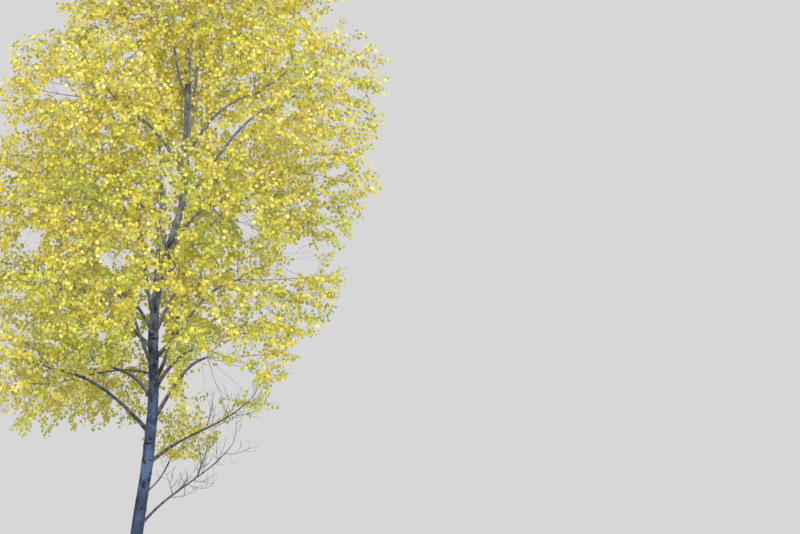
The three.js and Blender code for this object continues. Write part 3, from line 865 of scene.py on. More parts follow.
def fine_places(crown, mass, growth, limbs, spacing, rng):
    """Places of the finer twigs: even in the mass's space, ragged at its border, open in pockets."""
    ways = any_directions(rng, FINE_TRIES)
    places = mass.middle + ways * mass.size * rng.random((FINE_TRIES, 1)) ** (1 / 3)
    low, high = (np.array(corner) / MM for corner in CAD_BOX)
    boxed = ((places > low - PLACE_MARGIN) & (places < high + PLACE_MARGIN)).all(1)
    uneven = waves(places, POCKET_SIZES, FOLIAGE_SEED)
    outside = mass.size - np.linalg.norm(places - mass.middle, axis=1)
    keep = boxed & (depth_in(crown, mass, places) > FINE_MARGIN) & (uneven > POCKET_LEVEL)
    keep &= (outside > FINE_MARGIN + FINE_RAGGED * np.clip(-uneven, 0, 1)) & ~is_bare(crown, places)
    places = places[keep]
    places = places[limbs.room(places, places + UP, TWIG_ROOM) > CLEAR]
    taken = np.array(growth.at)
    found = np.empty((0, 3))
    for at in places:
        if len(found) and dot(found - at, found - at).min() < spacing ** 2:
            continue
        if dot(taken - at, taken - at).min() < FINE_TWIG_GAP ** 2:
            continue
        found = np.vstack([found, at])
    return found[rng.random(len(found)) >= missing_share(found)]


def grow_mass(crown, mass, seed, spacing):
    """A mass's twigs: the source's main twigs by its own series, then finer ones that fill its space."""
    random = series(FOLIAGE_SEED + seed)
    rng = np.random.default_rng(FOLIAGE_SEED + seed)
    limbs = crown.limbs.near(mass.middle, mass.size)
    main = Growth(mass.root, mass.direction)
    join_places(main, main_places(crown, mass, limbs, random), mass.limb, limbs)
    growth = with_knots(main, rng)
    places = fine_places(crown, mass, growth, limbs, spacing, rng)
    join_places(growth, places, mass.limb, limbs, LONGEST_TWIG)
    return growth


@dataclass
class Twigs:
    """All twigs as arrays: both ends, both end slopes, both radii, and the number of tips carried."""
    starts: np.ndarray
    ends: np.ndarray
    leaves: np.ndarray
    arrives: np.ndarray
    radii: np.ndarray
    loads: np.ndarray
    masses: np.ndarray


def twig_table(at, direction, parents, radius, loads, first, number):
    """The twigs that end in the places from the first on. Each starts no thicker than its parent ends."""
    child = np.arange(first, len(at))
    parent = parents[child]
    length = np.linalg.norm(at[child] - at[parent], axis=1, keepdims=True)
    own = unit(at[child] - at[parent])
    leaves = unit(TWIG_BEND * direction[parent] + (1 - TWIG_BEND) * own) * length
    foot = np.minimum(radius[child] * TWIG_TAPER, radius[parent])
    radii = np.stack([foot, np.minimum(radius[child], foot)], 1)
    count = np.full(len(child), number)
    return Twigs(at[parent], at[child], leaves, own * length, radii, loads[child], count)


def twigs_of(mass, growth, number):
    """A mass's twigs as arrays. Its first runs on from the limb's tip at the limb's own thickness."""
    at = np.array([mass.tip - mass.direction * mass.tip_radius] + growth.at)
    direction = np.array([mass.direction] + growth.direction)
    parents = np.array([-1, *(p + 1 for p in growth.parent)])
    parents[1] = 0
    loads = np.append(0, growth.loads())
    radius = np.minimum(TIP_RADIUS * np.maximum(loads, 1.0) ** GROWTH_POWER, mass.tip_radius)
    radius[0] = mass.tip_radius
    twigs = twig_table(at, direction, parents, radius, loads, 1, number)
    twigs.radii[0, 0] = mass.tip_radius
    return twigs


def joined(parts):
    """Several sets of twigs as one."""
    names = Twigs.__dataclass_fields__
    return Twigs(*(np.concatenate([getattr(part, name) for part in parts]) for name in names))


def rows_of(table, rows):
    """The same kind of table with only some of its rows."""
    return type(table)(*(getattr(table, name)[rows] for name in table.__dataclass_fields__))


def add_shoot(crown, limbs, growth, node, way, length, rng):
    """Adds a shoot to a place, and smaller ones to its joints, unless it comes to a limb or a mass.

    It is a row of short straight lengths that strays and turns up as it grows.
    """
    joints = [growth.at[node]]
    for _ in range(SHOOT_STEPS):
        way = unit(way + SHOOT_RISE * UP + SHOOT_WANDER * rng.normal(size=3))
        joints.append(joints[-1] + way * length / SHOOT_STEPS)
    joints = np.array(joints)
    depths = [depth_in(crown, mass, joints) for mass in crown.masses]
    if np.max(depths) > 0 or limbs.room(joints[:-1], joints[1:], TWIG_ROOM).min() < CLEAR:
        return
    for at in joints[1:]:
        node = growth.add(at, node)
        smaller = length * rng.uniform(*SHOOT_SHARES)
        if smaller > SHORTEST_SHOOT:
            aside = unit(growth.direction[node] + SHOOT_SPREAD * any_directions(rng, 1)[0])
            add_shoot(crown, limbs, growth, node, aside, smaller, rng)


def shoots_of(crown, bough, seed):
    """The shoots of a limb that has lost its leaves, one of which carries on from its tip."""
    rng = np.random.default_rng(seed)
    shares = np.linspace(SHOOT_FIRST, 1, BOUGH_LENGTHS)
    line = bezier(bough.path, shares)
    growth = Growth(line[0], unit(line[1] - line[0]))
    for node, at in enumerate(line[1:]):
        growth.add(at, node)
    limbs = crown.limbs.without(bough.name)
    span = np.linalg.norm(bough.tip - bough.path[0])
    tip = len(line) - 1
    add_shoot(crown, limbs, growth, tip, bough.direction, span * SHOOT_LENGTHS[1], rng)
    for node in np.sort(rng.integers(0, tip, SHOOTS)):
        aside = unit(growth.direction[node] + SHOOT_SPREAD * any_directions(rng, 1)[0])
        add_shoot(crown, limbs, growth, node, aside, span * rng.uniform(*SHOOT_LENGTHS), rng)
    loads = growth.loads()
    radius = SHOOT_RADIUS * np.maximum(loads, 1) ** GROWTH_POWER
    radius[:len(line)] = bough_radius(shares, bough.radii)
    at, direction = np.array(growth.at), np.array(growth.direction)
    return twig_table(at, direction, np.array(growth.parent), radius, loads, len(line), seed)


def twig_points(twigs, t):
    """Places on the twigs at shares t: cubic Hermite curves from their ends and end slopes."""
    t = np.asarray(t, float)[..., None]
    start, end = twigs.starts[:, None], twigs.ends[:, None]
    leave, arrive = twigs.leaves[:, None], twigs.arrives[:, None]
    ends = (2 * t ** 3 - 3 * t ** 2 + 1) * start + (3 * t ** 2 - 2 * t ** 3) * end
    return ends + (t ** 3 - 2 * t ** 2 + t) * leave + (t ** 3 - t ** 2) * arrive


KEPT = {}


def crown_and_twigs():
    """The crown and all its twigs, worked out once for the settings that are there."""
    spacing = bpy.context.scene.poplar_crown.spray_spacing / MM
    if spacing not in KEPT:
        crown = build_crown()
        parts = [
            twigs_of(mass, grow_mass(crown, mass, seed, spacing), seed)
            for seed, mass in enumerate(crown.masses)
        ]
        KEPT[spacing] = crown, joined(parts)
    return KEPT[spacing]


# Meshes

def wall_faces(rings, sides):
    """The faces between rings of points that close round a limb: two triangles for each gap."""
    row = sides * np.arange(rings - 1)[:, None]
    a = (row + np.arange(sides)).ravel()
    b = (row + (np.arange(sides) + 1) % sides).ravel()
    return np.concatenate([np.stack([a, b, b + sides], 1), np.stack([a, b + sides, a + sides], 1)])


def tubes(paths, radii, sides):
    """Closed tubes, one along each path: rings square to it that share one sideways direction.

    paths holds (tube, ring, xyz) and radii (tube, ring) or (tube, ring, side).
    """
    count, rings = paths.shape[:2]
    along = unit(np.gradient(paths, axis=1))
    chord = unit(paths[:, -1] - paths[:, 0])
    steep = abs(chord[:, 2:]) > STEEP
    across = np.cross(np.where(steep, ACROSS, UP), chord)[:, None]
    across = unit(across - along * dot(across, along)[..., None])
    other = np.cross(along, across)
    turn = FULL_TURN * np.arange(sides)[:, None] / sides
    outward = across[:, :, None] * np.cos(turn) + other[:, :, None] * np.sin(turn)
    radii = radii if radii.ndim == 3 else radii[:, :, None]
    vertices = paths[:, :, None] + radii[..., None] * outward
    fan = np.arange(1, sides - 1)
    last = (rings - 1) * sides
    caps = [np.stack([fan * 0, fan + 1, fan], 1), np.stack([fan * 0, fan, fan + 1], 1) + last]
    faces = np.concatenate([wall_faces(rings, sides), *caps])
    faces = faces[None] + (np.arange(count) * rings * sides)[:, None, None]
    return vertices.reshape(-1, 3), faces.reshape(-1, 3)


def closed_grid(grid):
    """A grid that closes round its rows, as one closed skin: its two ends run to a middle point each."""
    rows, columns = grid.shape[:2]
    ring = np.arange(columns)
    after = (ring + 1) % columns
    foot, tip = rows * columns, rows * columns + 1
    last = (rows - 1) * columns
    foot_cap = np.stack([ring * 0 + foot, after, ring], 1)
    tip_cap = np.stack([ring * 0 + tip, last + ring, last + after], 1)
    vertices = np.concatenate([grid.reshape(-1, 3), grid[0].mean(0)[None], grid[-1].mean(0)[None]])
    return vertices, np.concatenate([wall_faces(rows, columns), foot_cap, tip_cap])


def new_piece(name, vertices, faces, material, replaces=()):
    """A piece at the origin from arrays, in millimetres. It rides on the tree and takes its nodes' place."""
    mesh = bpy.data.meshes.new(name)
    mesh.vertices.add(len(vertices))
    mesh.vertices.foreach_set("co", (vertices * MM).astype(np.float32).ravel())
    mesh.loops.add(faces.size)
    mesh.loops.foreach_set("vertex_index", faces.astype(np.int32).ravel())
    mesh.polygons.add(len(faces))
    mesh.polygons.foreach_set("loop_start", np.arange(0, faces.size, 3, dtype=np.int32))
    mesh.polygons.foreach_set("use_smooth", np.ones(len(faces), bool))
    mesh.update(calc_edges=True)
    mesh.materials.append(material)
    piece = bpy.data.objects.new(name, mesh)
    bpy.context.scene.collection.objects.link(piece)
    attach(piece, BODY)
    if replaces:
        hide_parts(*replaces)
    return piece


def add_attribute(piece, name, values):
    """Gives a piece's vertices a value each, which its material reads by name."""
    attribute = piece.data.attributes.new(name, "FLOAT", "POINT")
    attribute.data.foreach_set("value", values.astype(np.float32))


# Materials

def feed(tree, socket, value):
    """Gives an input its value, or the socket that it comes from. A plain colour gets full alpha."""
    if isinstance(value, bpy.types.NodeSocket):
        tree.links.new(value, socket)
    elif socket.type == "RGBA":
        socket.default_value = (*value, 1.0)
    else:
        socket.default_value = value


def add_node(tree, kind, inputs=None, **settings):
    """Adds one node. Settings are its properties, and inputs are values or the sockets they come from."""
    made = tree.nodes.new("ShaderNode" + kind)
    for name, value in settings.items():
        setattr(made, name, value)
    for name, value in (inputs or {}).items():
        feed(tree, made.inputs[name], value)
    return made


def new_material(name, roughness):
    """An empty material with its shader, and the coordinates that its patterns read."""
    material = bpy.data.materials.new(name)
    material.use_nodes = True
    tree = material.node_tree
    shader = tree.nodes["Principled BSDF"]
    shader.inputs["Roughness"].default_value = roughness
    place = add_node(tree, "TexCoord").outputs["Object"]
    return material, tree, shader, place


def lumps(tree, place, pattern):
    """Values about 0.5 in lumps of a pattern's grain, detail and stretch."""
    spread = add_node(tree, "Mapping", {"Vector": place, "Scale": pattern.stretch})
    inputs = {"Vector": spread.outputs["Vector"], "Scale": 1 / (pattern.grain * MM), "Detail": pattern.detail}
    return add_node(tree, "TexNoise", inputs).outputs["Fac"]


def share_of(tree, place, share):
    """How far a coat covers: a number or a socket as it is, or the share by which an onset has set in."""
    if not isinstance(share, Onset):
        return share
    if isinstance(share.source, Lumps):
        value = lumps(tree, place, share.source)
    elif share.source == "height":
        value = add_node(tree, "SeparateXYZ", {"Vector": place}).outputs["Z"]
    else:
        value = add_node(tree, "Attribute", attribute_name=share.source).outputs["Fac"]
    limits = {"Value": value, "From Min": share.low, "From Max": share.high}
    return add_node(tree, "MapRange", limits, interpolation_type="SMOOTHSTEP").outputs["Result"]


def coated(tree, place, colour, *coats):
    """A colour under coats. A coat is its colour and shares, whose product is how far it covers."""
    for over, *shares in coats:
        share, *others = [share_of(tree, place, given) for given in shares]
        for other in others:
            share = add_node(tree, "Math", {0: share, 1: other}, operation="MULTIPLY").outputs[0]
        colour = add_node(tree, "Mix", {0: share, 6: colour, 7: over}, data_type="RGBA").outputs[2]
    return colour


def roughen(tree, shader, place, pattern, depth):
    """Gives a surface relief of about depth millimetres, in lumps of a pattern."""
    height = lumps(tree, place, pattern)
    relief = add_node(tree, "Bump", {"Height": height, "Distance": depth * MM, "Strength": 1.0})
    feed(tree, shader.inputs["Normal"], relief.outputs["Normal"])


def stem_blotches(tree, place):
    """The share of the stem's darker blotches: none in its pale bands, and full in its dark ones."""
    blotches = share_of(tree, place, BLOTCHES)
    return coated(tree, place, blotches, (BLACK, PALE_BANDS), (WHITE, DARK_BANDS))


def smooth_poplar_bark(settings):
    """Living bark of a young poplar: matt and smooth, lavender grey in soft blotches and fine mottles. Its
    blue is partly the bark's own and partly a painted cool cast of shade light.

    It is browner in patches higher up, pale where the wood is young, and plain grey near the ground.
    Short dark lenticels lie across it, scars are nearly black, and the foot is darker and furrowed.
    """
    material, tree, shader, place = new_material("smooth_poplar_bark", roughness=0.82)
    blotches = stem_blotches(tree, place)
    young = coated(tree, place, settings.young_light, (settings.young_shade, blotches))
    old = coated(tree, place, settings.foot_light, (settings.foot_shade, blotches))
    colour = coated(
        tree, place, settings.stem_light,
        (settings.stem_shade, blotches),
        (settings.stem_patch, BROWN_PATCHES, PATCHY_WOOD),
        (young, YOUNG_WOOD),
        (old, OLD_WOOD),
        (settings.stem_shade, MOTTLES, MOTTLE_SHARE),
        (settings.scar, LENTICELS),
        (settings.scar, SCARRED, FRESH_SCARS),
    )
    feed(tree, shader.inputs["Base Color"], colour)
    roughen(tree, shader, place, Lumps(grain=9, detail=4.0, stretch=(1, 1, 1.8)), depth=1.2)
    return material


def bough_bark(settings):
    """Bark of the boughs: thinner, dull and brown-grey with paler dusty patches, and a painted highlight
    along the top where light from above falls.

    Higher in the crown it is the pale bark of young wood.
    """
    material, tree, shader, place = new_material("bough_bark", roughness=0.86)
    dusty = share_of(tree, place, DUST)
    young = coated(tree, place, settings.young_shade, (settings.young_light, dusty))
    colour = coated(
        tree, place, settings.bough,
        (settings.bough_dust, dusty),
        (young, YOUNG_WOOD),
        # painted highlight along the top, in the pale colour of young bark
        (settings.young_light, PAINTED_TOP_HIGHLIGHT, PAINTED_TOP_HIGHLIGHT_SHARE),
    )
    feed(tree, shader.inputs["Base Color"], colour)
    roughen(tree, shader, place, Lumps(grain=7, detail=4.0), depth=1.0)
    return material


def lichened_bark(settings):
    """Bark of limbs that lost their leaves: grey, crusted with pale lichen in small patches."""
    material, tree, shader, place = new_material("lichened_bark", roughness=0.92)
    colour = coated(tree, place, settings.bare, (settings.lichen, LICHEN))
    feed(tree, shader.inputs["Base Color"], colour)
    roughen(tree, shader, place, Lumps(grain=6, detail=5.0), depth=1.4)
    return material


def twig_bark(settings):
    """Bark of shoots of the last years: smooth and slightly glossy, brown-grey to pale grey."""
    material, tree, shader, place = new_material("twig_bark", roughness=0.6)
    colour = coated(tree, place, settings.twig, (settings.twig_pale, AGEING))
    feed(tree, shader.inputs["Base Color"], colour)
    return material


def autumn_leaf(name, colour):
    """A thin autumn leaf: satin, with a faint net of veins. Its tint is one plain base colour.

    The net's meshes are drawn about twice as wide as real ones, which are too fine to show.
    """
    material, tree, shader, place = new_material(f"autumn_leaf_{name}", roughness=0.5)
    feed(tree, shader.inputs["Base Color"], colour)
    roughen(tree, shader, place, Lumps(grain=8, detail=2.0), depth=0.15)
    return material


# Surfaces of the stem and the boughs

def scar_field(across, height, width, tall):
    """A scar's darkness: a round dent, and a brow that arches over it, both falling off as bells."""
    dent = np.exp(-(across / width) ** 2 - (height / tall) ** 2)
    brow_line = height - BROW_LIFT * tall + BROW_DROOP * across ** 2 / width
    brow = np.exp(-(brow_line / (BROW_THICK * tall)) ** 2 - (across / (BROW_WIDE * width)) ** 4)
    return np.maximum(dent, BROW_DARKNESS * brow)


def scar_places(crown):
    """Where scars sit: height, turn, half width, half height. Above each bough, and seeded ones."""
    rng = np.random.default_rng(FOLIAGE_SEED)
    rows = [(height, turn, COLLAR_HALF_WIDTH, COLLAR_HALF_HEIGHT) for height, turn in COLLARS]
    rows += [(height, turn, width, width) for height, turn, width in SEEN_SCARS]
    for _ in range(SCARS):
        width = rng.uniform(*SCAR_WIDTHS)
        height, turn = rng.uniform(*SCAR_HEIGHTS), rng.uniform(0, FULL_TURN)
        rows.append((height, turn, width, width * rng.uniform(*SCAR_SHAPES)))
    for bough in crown.boughs:
        out = bough.path[1] - bough.path[0]
        turn = math.atan2(out[1], out[0])
        reach = stem_radius(bough.foot_z) / math.hypot(out[0], out[1]) * out[2]
        width, tall = (share * bough_radius(0, bough.radii) for share in BOUGH_SCAR)
        rows.append((bough.foot_z + reach, turn, width, tall))
    return rows


def bark_relief(turn, height):
    """The stem's relief: waves that get slighter as the stem does, less the furrows of the foot.

    The furrows lie where a lattice noise is near 0, and fade exponentially with height.
    """
    uneven = sum(depth * lattice_noise(turn, height, *lattice) for depth, lattice in BARK_WAVES)
    sharp = (1 - abs(lattice_noise(turn, height, *FURROW_LATTICE))) ** FURROW_SHARPNESS
    furrows = -FURROW_DEPTH * np.exp(-height / FURROW_FADE) * sharp
    return stem_radius(height) / BOLE_RADIUS * uneven + furrows


def foot_darkness(turn, height):
    """How dark the old bark is: patchy by lattice noise, and fading exponentially with height."""
    return FOOT_DARKNESS * np.exp(-height / FOOT_FADE) * (1 + lattice_noise(turn, height, *FOOT_LATTICE))


def stem_surface(crown, relief):
    """The stem's skin on a grid of height and turn, how dark its scars are there, and its bands of tone.

    The radius is the taper, the flare with its root ridges, the bark's relief, and dents in swellings
    where the boughs and scars sit.
    """
    heights = np.linspace(0, STEM_TOP, STEM_ROWS)
    turns = FULL_TURN * np.arange(STEM_COLUMNS) / STEM_COLUMNS
    height, turn = np.meshgrid(heights, turns, indexing="ij")
    plain = stem_radius(height)
    ridge = 1 + ROOT_RIDGE_SHARE * np.cos(ROOT_RIDGES * turn + ROOT_RIDGE_TURN)
    radius = plain + flare_at(height) * ridge + relief * bark_relief(turn, height)
    scar = np.zeros_like(radius)
    bent = height + SCAR_STRAY * lattice_noise(turn, height, *SCAR_LATTICE)
    for place, towards, width, tall in scar_places(crown):
        across = ((turn - towards + math.pi) % FULL_TURN - math.pi) * plain
        near = scar_field(across, bent - place, width, tall)
        scar = np.maximum(scar, near)
        below = (bent - place + tall) / (SWELL_TALL * tall)
        swell = np.exp(-(across / (SWELL_WIDE * width)) ** 2 - below ** 2)
        radius += relief * (SCAR_SWELL * width * swell - SCAR_DENT * width * near)
    out = np.stack([np.cos(turns), np.sin(turns), 0 * turns], -1)
    tone = sum(strength * np.exp(-((bent - place) / TONE_HEIGHT) ** 2) for place, strength in SEEN_TONES)
    scar = np.maximum(scar, foot_darkness(turn, height))
    return stem_at(heights)[:, None] + radius[..., None] * out, scar, tone


def bough_surface(bough, seed):
    """A bough's skin: a tube on its curve, uneven by lattice noise, with a few ring scars along it."""
    t = np.linspace(0, 1, BOUGH_ROWS)
    path = bezier(bough.path, t)
    length = np.linalg.norm(np.diff(path, axis=0), axis=1).sum()
    turns = FULL_TURN * np.arange(BOUGH_COLUMNS) / BOUGH_COLUMNS
    height, turn = np.meshgrid(t * length, turns, indexing="ij")
    uneven = np.ones_like(height)
    for number, (depth, columns, row_height) in enumerate(BOUGH_WAVES):
        uneven += depth * lattice_noise(turn, height, columns, row_height, seed + number)
    for ring in np.random.default_rng(seed).uniform(*RING_SPAN, RING_SCARS) * length:
        uneven += RING_SWELL * np.exp(-((height - ring) / RING_HEIGHT) ** 2)
    radii = bough_radius(t, bough.radii)[:, None] * uneven
    return tubes(path[None], radii[None], BOUGH_COLUMNS)


# Settings

def tone_of(name, description, tone):
    """A colour that a user can change, given as an sRGB hex value."""
    return bpy.props.FloatVectorProperty(
        name=name, description=description, subtype="COLOR", default=linear(tone),
    )


def measure_of(name, description, metres):
    """A length that a user can change."""
    return bpy.props.FloatProperty(name=name, description=description, unit="LENGTH", default=metres)


def angle_of(name, description, degrees):
    """An angle that a user can change."""
    return bpy.props.FloatProperty(
        name=name, description=description, subtype="ANGLE", default=math.radians(degrees),
    )


class PoplarBark(bpy.types.PropertyGroup):
    """Bark of stem, boughs and twigs."""
    relief: bpy.props.FloatProperty(
        name="Relief", description="Depth of the bark's relief as a share", default=1.0, min=0,
    )
    # The stem's blue is partly the bark's own lavender grey and partly a painted cool cast of shade light
    stem_light: tone_of("Stem", "Light bark of the stem", "#5b7097")
    stem_shade: tone_of("Stem blotches", "Darker blotches of the stem", "#2f3b5a")
    stem_patch: tone_of("Stem patches", "Browner patches higher up", "#4b4348")
    young_light: tone_of("Young bark", "Pale bark high in the crown", "#b2b5b8")
    young_shade: tone_of("Young blotches", "Darker blotches there", "#7d8286")
    foot_light: tone_of("Foot", "Old bark near the ground", "#6d7480")
    foot_shade: tone_of("Foot blotches", "Darker blotches there", "#41444f")
    scar: tone_of("Scars", "Scars and lenticels", "#15151b")
    bough: tone_of("Boughs", "Bark of the boughs", "#36373d")
    bough_dust: tone_of("Bough dust", "Paler patches of the boughs", "#6d6c77")
    bare: tone_of("Bare limbs", "Bark of the bare limbs", "#3c3f46")
    lichen: tone_of("Lichen", "Lichen on the bare limbs", "#72777d")
    twig: tone_of("Twigs", "Young bark of the twigs", "#68625c")
    twig_pale: tone_of("Pale twigs", "Paler bark of the twigs", "#a09e9a")


class PoplarCrown(bpy.types.PropertyGroup):
    """Growth of the crown."""
    spray_spacing: measure_of("Spray spacing", "Least distance between two sprays", 0.168)
    leaves_per_spray: bpy.props.IntProperty(
        name="Leaves per spray", description="Leaves at the end of a twig", default=10, min=1,
    )
    leaf_width: measure_of("Leaf width", "Width of a leaf", 0.043)
    petiole: measure_of("Petiole", "Length of a leaf's stalk", 0.040)


class PoplarTints(bpy.types.PropertyGroup):
    """Autumn tints of the leaves."""
    green: tone_of("Green", "Leaves that are still green", "#afb949")
    lime: tone_of("Lime", "Leaves that turn", "#c7cb4e")
    lemon: tone_of("Lemon", "Most of the leaves", "#e1d44a")
    straw: tone_of("Straw", "Pale leaves", "#e7dd76")
    gold: tone_of("Gold", "Ripe leaves", "#dcba3b")


class PoplarStudio(bpy.types.PropertyGroup):
    """Floor, light and lens."""
    backdrop: bpy.props.FloatProperty(
        name="Backdrop", description="Brightness of the backdrop", default=0.68, min=0,
    )
    floor: bpy.props.FloatProperty(
        name="Floor", description="Share of light that the floor returns", default=0.56, min=0.1, max=0.95,
    )
    sun_width: angle_of("Sun width", "Width of the soft sun", 45)
    focal_length: bpy.props.FloatProperty(
        name="Focal length", description="Focal length of the lens in millimetres", default=300,
    )
    distance: measure_of("Distance", "From the lens to the stem", 80)
    elevation: angle_of("Elevation", "How steeply the lens looks down", 2.5)


# Operators

class PoplarStem(bpy.types.Operator):
    """Make the stem: its taper, lean and root flare, with the relief of its bark"""
    bl_idname = "poplar.stem"
    bl_label = "Stem"

    def execute(self, context):
        crown, _ = crown_and_twigs()
        bark = context.scene.poplar_bark
        grid, scar, tone = stem_surface(crown, bark.relief)
        vertices, faces = closed_grid(grid)
        material = smooth_poplar_bark(bark)
        piece = new_piece("stem", vertices, faces, material, ["trunk"])
        add_attribute(piece, "scar", np.append(scar.ravel(), [0, 0]))
        add_attribute(piece, "tone", np.append(tone.ravel(), [0, 0]))
        return {"FINISHED"}


def add_boughs(crown, bare, material):
    """Makes the boughs that are bare, or those that aren't, each as a piece in its own node's place."""
    made = []
    for seed, bough in enumerate(crown.boughs):
        if (bough.name in BARE_NAMES) == bare:
            vertices, faces = bough_surface(bough, seed)
            made.append(new_piece(f"{bough.name}_bark", vertices, faces, material, [bough.name]))
    return made


def add_twigs(name, twigs, sides, rings, material):
    """Twigs as joined tubes, in as many pieces as their triangles need."""
    t = np.linspace(0, 1, rings)
    each = 2 * sides * (rings - 1) + 2 * (sides - 2)
    count = math.ceil(len(twigs.starts) * each / MOST_TRIANGLES)
    paths = twig_points(twigs, t[None])
    radii = twigs.radii[:, :1] * (1 - t) + twigs.radii[:, 1:] * t
    for number, rows in enumerate(np.array_split(np.arange(len(paths)), count), 1):
        vertices, faces = tubes(paths[rows], radii[rows], sides)
        new_piece(f"{name}_{number}", vertices, faces, material)


class PoplarBoughs(bpy.types.Operator):
    """Make each leafy bough and the second leader as a piece of its own"""
    bl_idname = "poplar.boughs"
    bl_label = "Boughs"

    def execute(self, context):
        crown, _ = crown_and_twigs()
        material = bough_bark(context.scene.poplar_bark)
        for piece in add_boughs(crown, False, material):
            # the normals' upward share, from which the bark paints a highlight along each bough's top
            normals = np.empty(3 * len(piece.data.vertices), np.float32)
            piece.data.vertices.foreach_get("normal", normals)
            add_attribute(piece, "upper", normals[2::3])
        return {"FINISHED"}


class PoplarBareBoughs(bpy.types.Operator):
    """Make the limbs that have lost their leaves"""
    bl_idname = "poplar.bare_boughs"
    bl_label = "Bare boughs"

    def execute(self, context):
        crown, _ = crown_and_twigs()
        material = lichened_bark(context.scene.poplar_bark)
        add_boughs(crown, True, material)
        bare = [seed for seed, bough in enumerate(crown.boughs) if bough.name in BARE_NAMES]
        shoots = joined([shoots_of(crown, crown.boughs[seed], seed) for seed in bare])
        add_twigs("bare_shoots", shoots, SHOOT_SIDES, TWIG_RINGS, material)
        return {"FINISHED"}


class PoplarTwigs(bpy.types.Operator):
    """Make the branchlets and twigs that grow on from the limbs"""
    bl_idname = "poplar.twigs"
    bl_label = "Twigs"

    def execute(self, context):
        _, twigs = crown_and_twigs()
        material = twig_bark(context.scene.poplar_bark)
        thick = twigs.radii[:, 0] > BRANCHLET_RADIUS
        add_twigs("branchlets", rows_of(twigs, thick), BRANCHLET_SIDES, BRANCHLET_RINGS, material)
        add_twigs("fine_twigs", rows_of(twigs, ~thick), TWIG_SIDES, TWIG_RINGS, material)
        return {"FINISHED"}


def leaf_outline():
    """A leaf on its own axes, one wide: nearly round, with a short point, folded up along its midrib.

    Round the outline the width goes as the sine and the length as one less the cosine of a turn.
    """
    turn = FULL_TURN * np.arange(LEAF_SIDES) / LEAF_SIDES
    x = 0.5 * np.sin(turn) * (1 + LEAF_SKEW * np.cos(turn))
    y = LEAF_HALF_LENGTH * (1 - np.cos(turn)) + LEAF_POINT * (turn == math.pi)
    return np.stack([x, y, LEAF_FOLD * abs(np.sin(turn))], 1)


@dataclass
class Leaves:
    """All leaves as arrays: where stalk and blade start, the blade's axes and width, and its ripeness."""
    feet: np.ndarray
    roots: np.ndarray
    along: np.ndarray
    normal: np.ndarray
    width: np.ndarray
    ripeness: np.ndarray


def spray_ripeness(twigs, rng):
    """How ripe each twig's spray is: slow waves through the crown, chance, and more with height."""
    slow = RIPENESS_WAVES * waves(twigs.ends, RIPENESS_SIZES, FOLIAGE_SEED + 1)
    height = (twigs.ends[:, 2] - MIDDLE_HEIGHT) / STEM_TOP
    return slow + SPRAY_CHANCE * rng.normal(size=len(twigs.loads)) + RIPENING * height


def stalk_feet(twigs, owner, order, rng):
    """Where each stalk leaves its twig, some steps back from the twig's end, and the twig's own way."""
    start, end = twigs.starts[owner], twigs.ends[owner]
    length = np.linalg.norm(end - start, axis=1)
    back = (order + STEP_CHANCE * rng.random(len(owner))) * LEAF_STEP / length
    share = np.clip(1 - back, LEAST_SHARE, 1)
    return twig_points(rows_of(twigs, owner), share[:, None])[:, 0], unit(end - start)


def stalk_ways(along, order, first_turn):
    """The ways of the stalks: a golden angle apart round the twig, a little along it and a little down."""
    across = unit(np.cross(along, NEARLY_UP))
    turn = (order * GOLDEN_ANGLE + first_turn)[:, None]
    radial = across * np.cos(turn) + np.cross(along, across) * np.sin(turn)
    last = (order == 0)[:, None]
    return unit(np.where(last, *OUTWARD) * radial + np.where(last, *ONWARD) * along - STALK_SAG * UP)


def blade_ways(roots, out, rng):
    """Each blade's way and its normal: it hangs from its stalk and faces out of the crown, by chance."""
    hang = unit(HANG_ON * out - HANG_DOWN * UP + HANG_CHANCE * rng.normal(size=out.shape))
    middle = stem_at(np.clip(roots[:, 2], 0, STEM_TOP))
    facing = unit((roots - middle) * FACING_FLAT) * FACING + FACING_CHANCE * rng.normal(size=out.shape)
    return hang, unit(facing - hang * dot(facing, hang)[:, None])


def place_leaves(crown, twigs, settings):
    """Leaves round the last part of each thin twig that hasn't shed them, where there is room for them."""
    rng = np.random.default_rng(FOLIAGE_SEED)
    leafy = np.flatnonzero((twigs.loads <= LEAFY_LOAD) & (rng.random(len(twigs.loads)) > BARE_TIPS))
    ripeness = spray_ripeness(twigs, rng)
    count = settings.leaves_per_spray - (twigs.loads[leafy] > 1)
    owner = np.repeat(leafy, count)
    order = np.arange(len(owner)) - np.repeat(np.cumsum(count) - count, count)
    feet, along = stalk_feet(twigs, owner, order, rng)
    out = stalk_ways(along, order, np.repeat(rng.uniform(0, FULL_TURN, len(leafy)), count))
    petiole = settings.petiole / MM * rng.uniform(*STALK_LENGTHS, len(owner))
    roots = feet + out * petiole[:, None]
    hang, normal = blade_ways(roots, out, rng)
    spread = rng.normal(size=len(owner)).clip(-MOST_SPREADS, MOST_SPREADS)
    width = settings.leaf_width / MM * (1 + LEAF_SPREAD * spread)
    own = ripeness[owner] + LEAF_CHANCE * rng.normal(size=len(owner))
    leaves = Leaves(feet, roots, hang, normal, width, own)
    return rows_of(leaves, leaves_fit(crown, twigs.masses[owner], leaves))


def leaves_fit(crown, owner, leaves):
    """Whether each leaf stays in its mass's space and the tree's box, off the openings and the limbs."""
    tips = leaves.roots + leaves.along * leaves.width[:, None]
    middles = (leaves.roots + tips) / 2
    low, high = (np.array(corner) / MM for corner in CAD_BOX)
    inside = ((tips > low - LEAF_MARGIN) & (tips < high + LEAF_MARGIN)).all(1)
    keep = inside & ~is_bare(crown, middles)
    for number, mass in enumerate(crown.masses):
        own = np.flatnonzero(keep & (owner == number))
        limbs = crown.limbs.near(mass.middle, mass.size)
        fits = depth_in(crown, mass, tips[own]) > -LEAF_CROSSING
        fits &= limbs.room(leaves.roots[own], tips[own], leaves.width[own] / 2 + LEAF_ROOM, mass.limb) > 0
        keep[own] = fits
    return keep


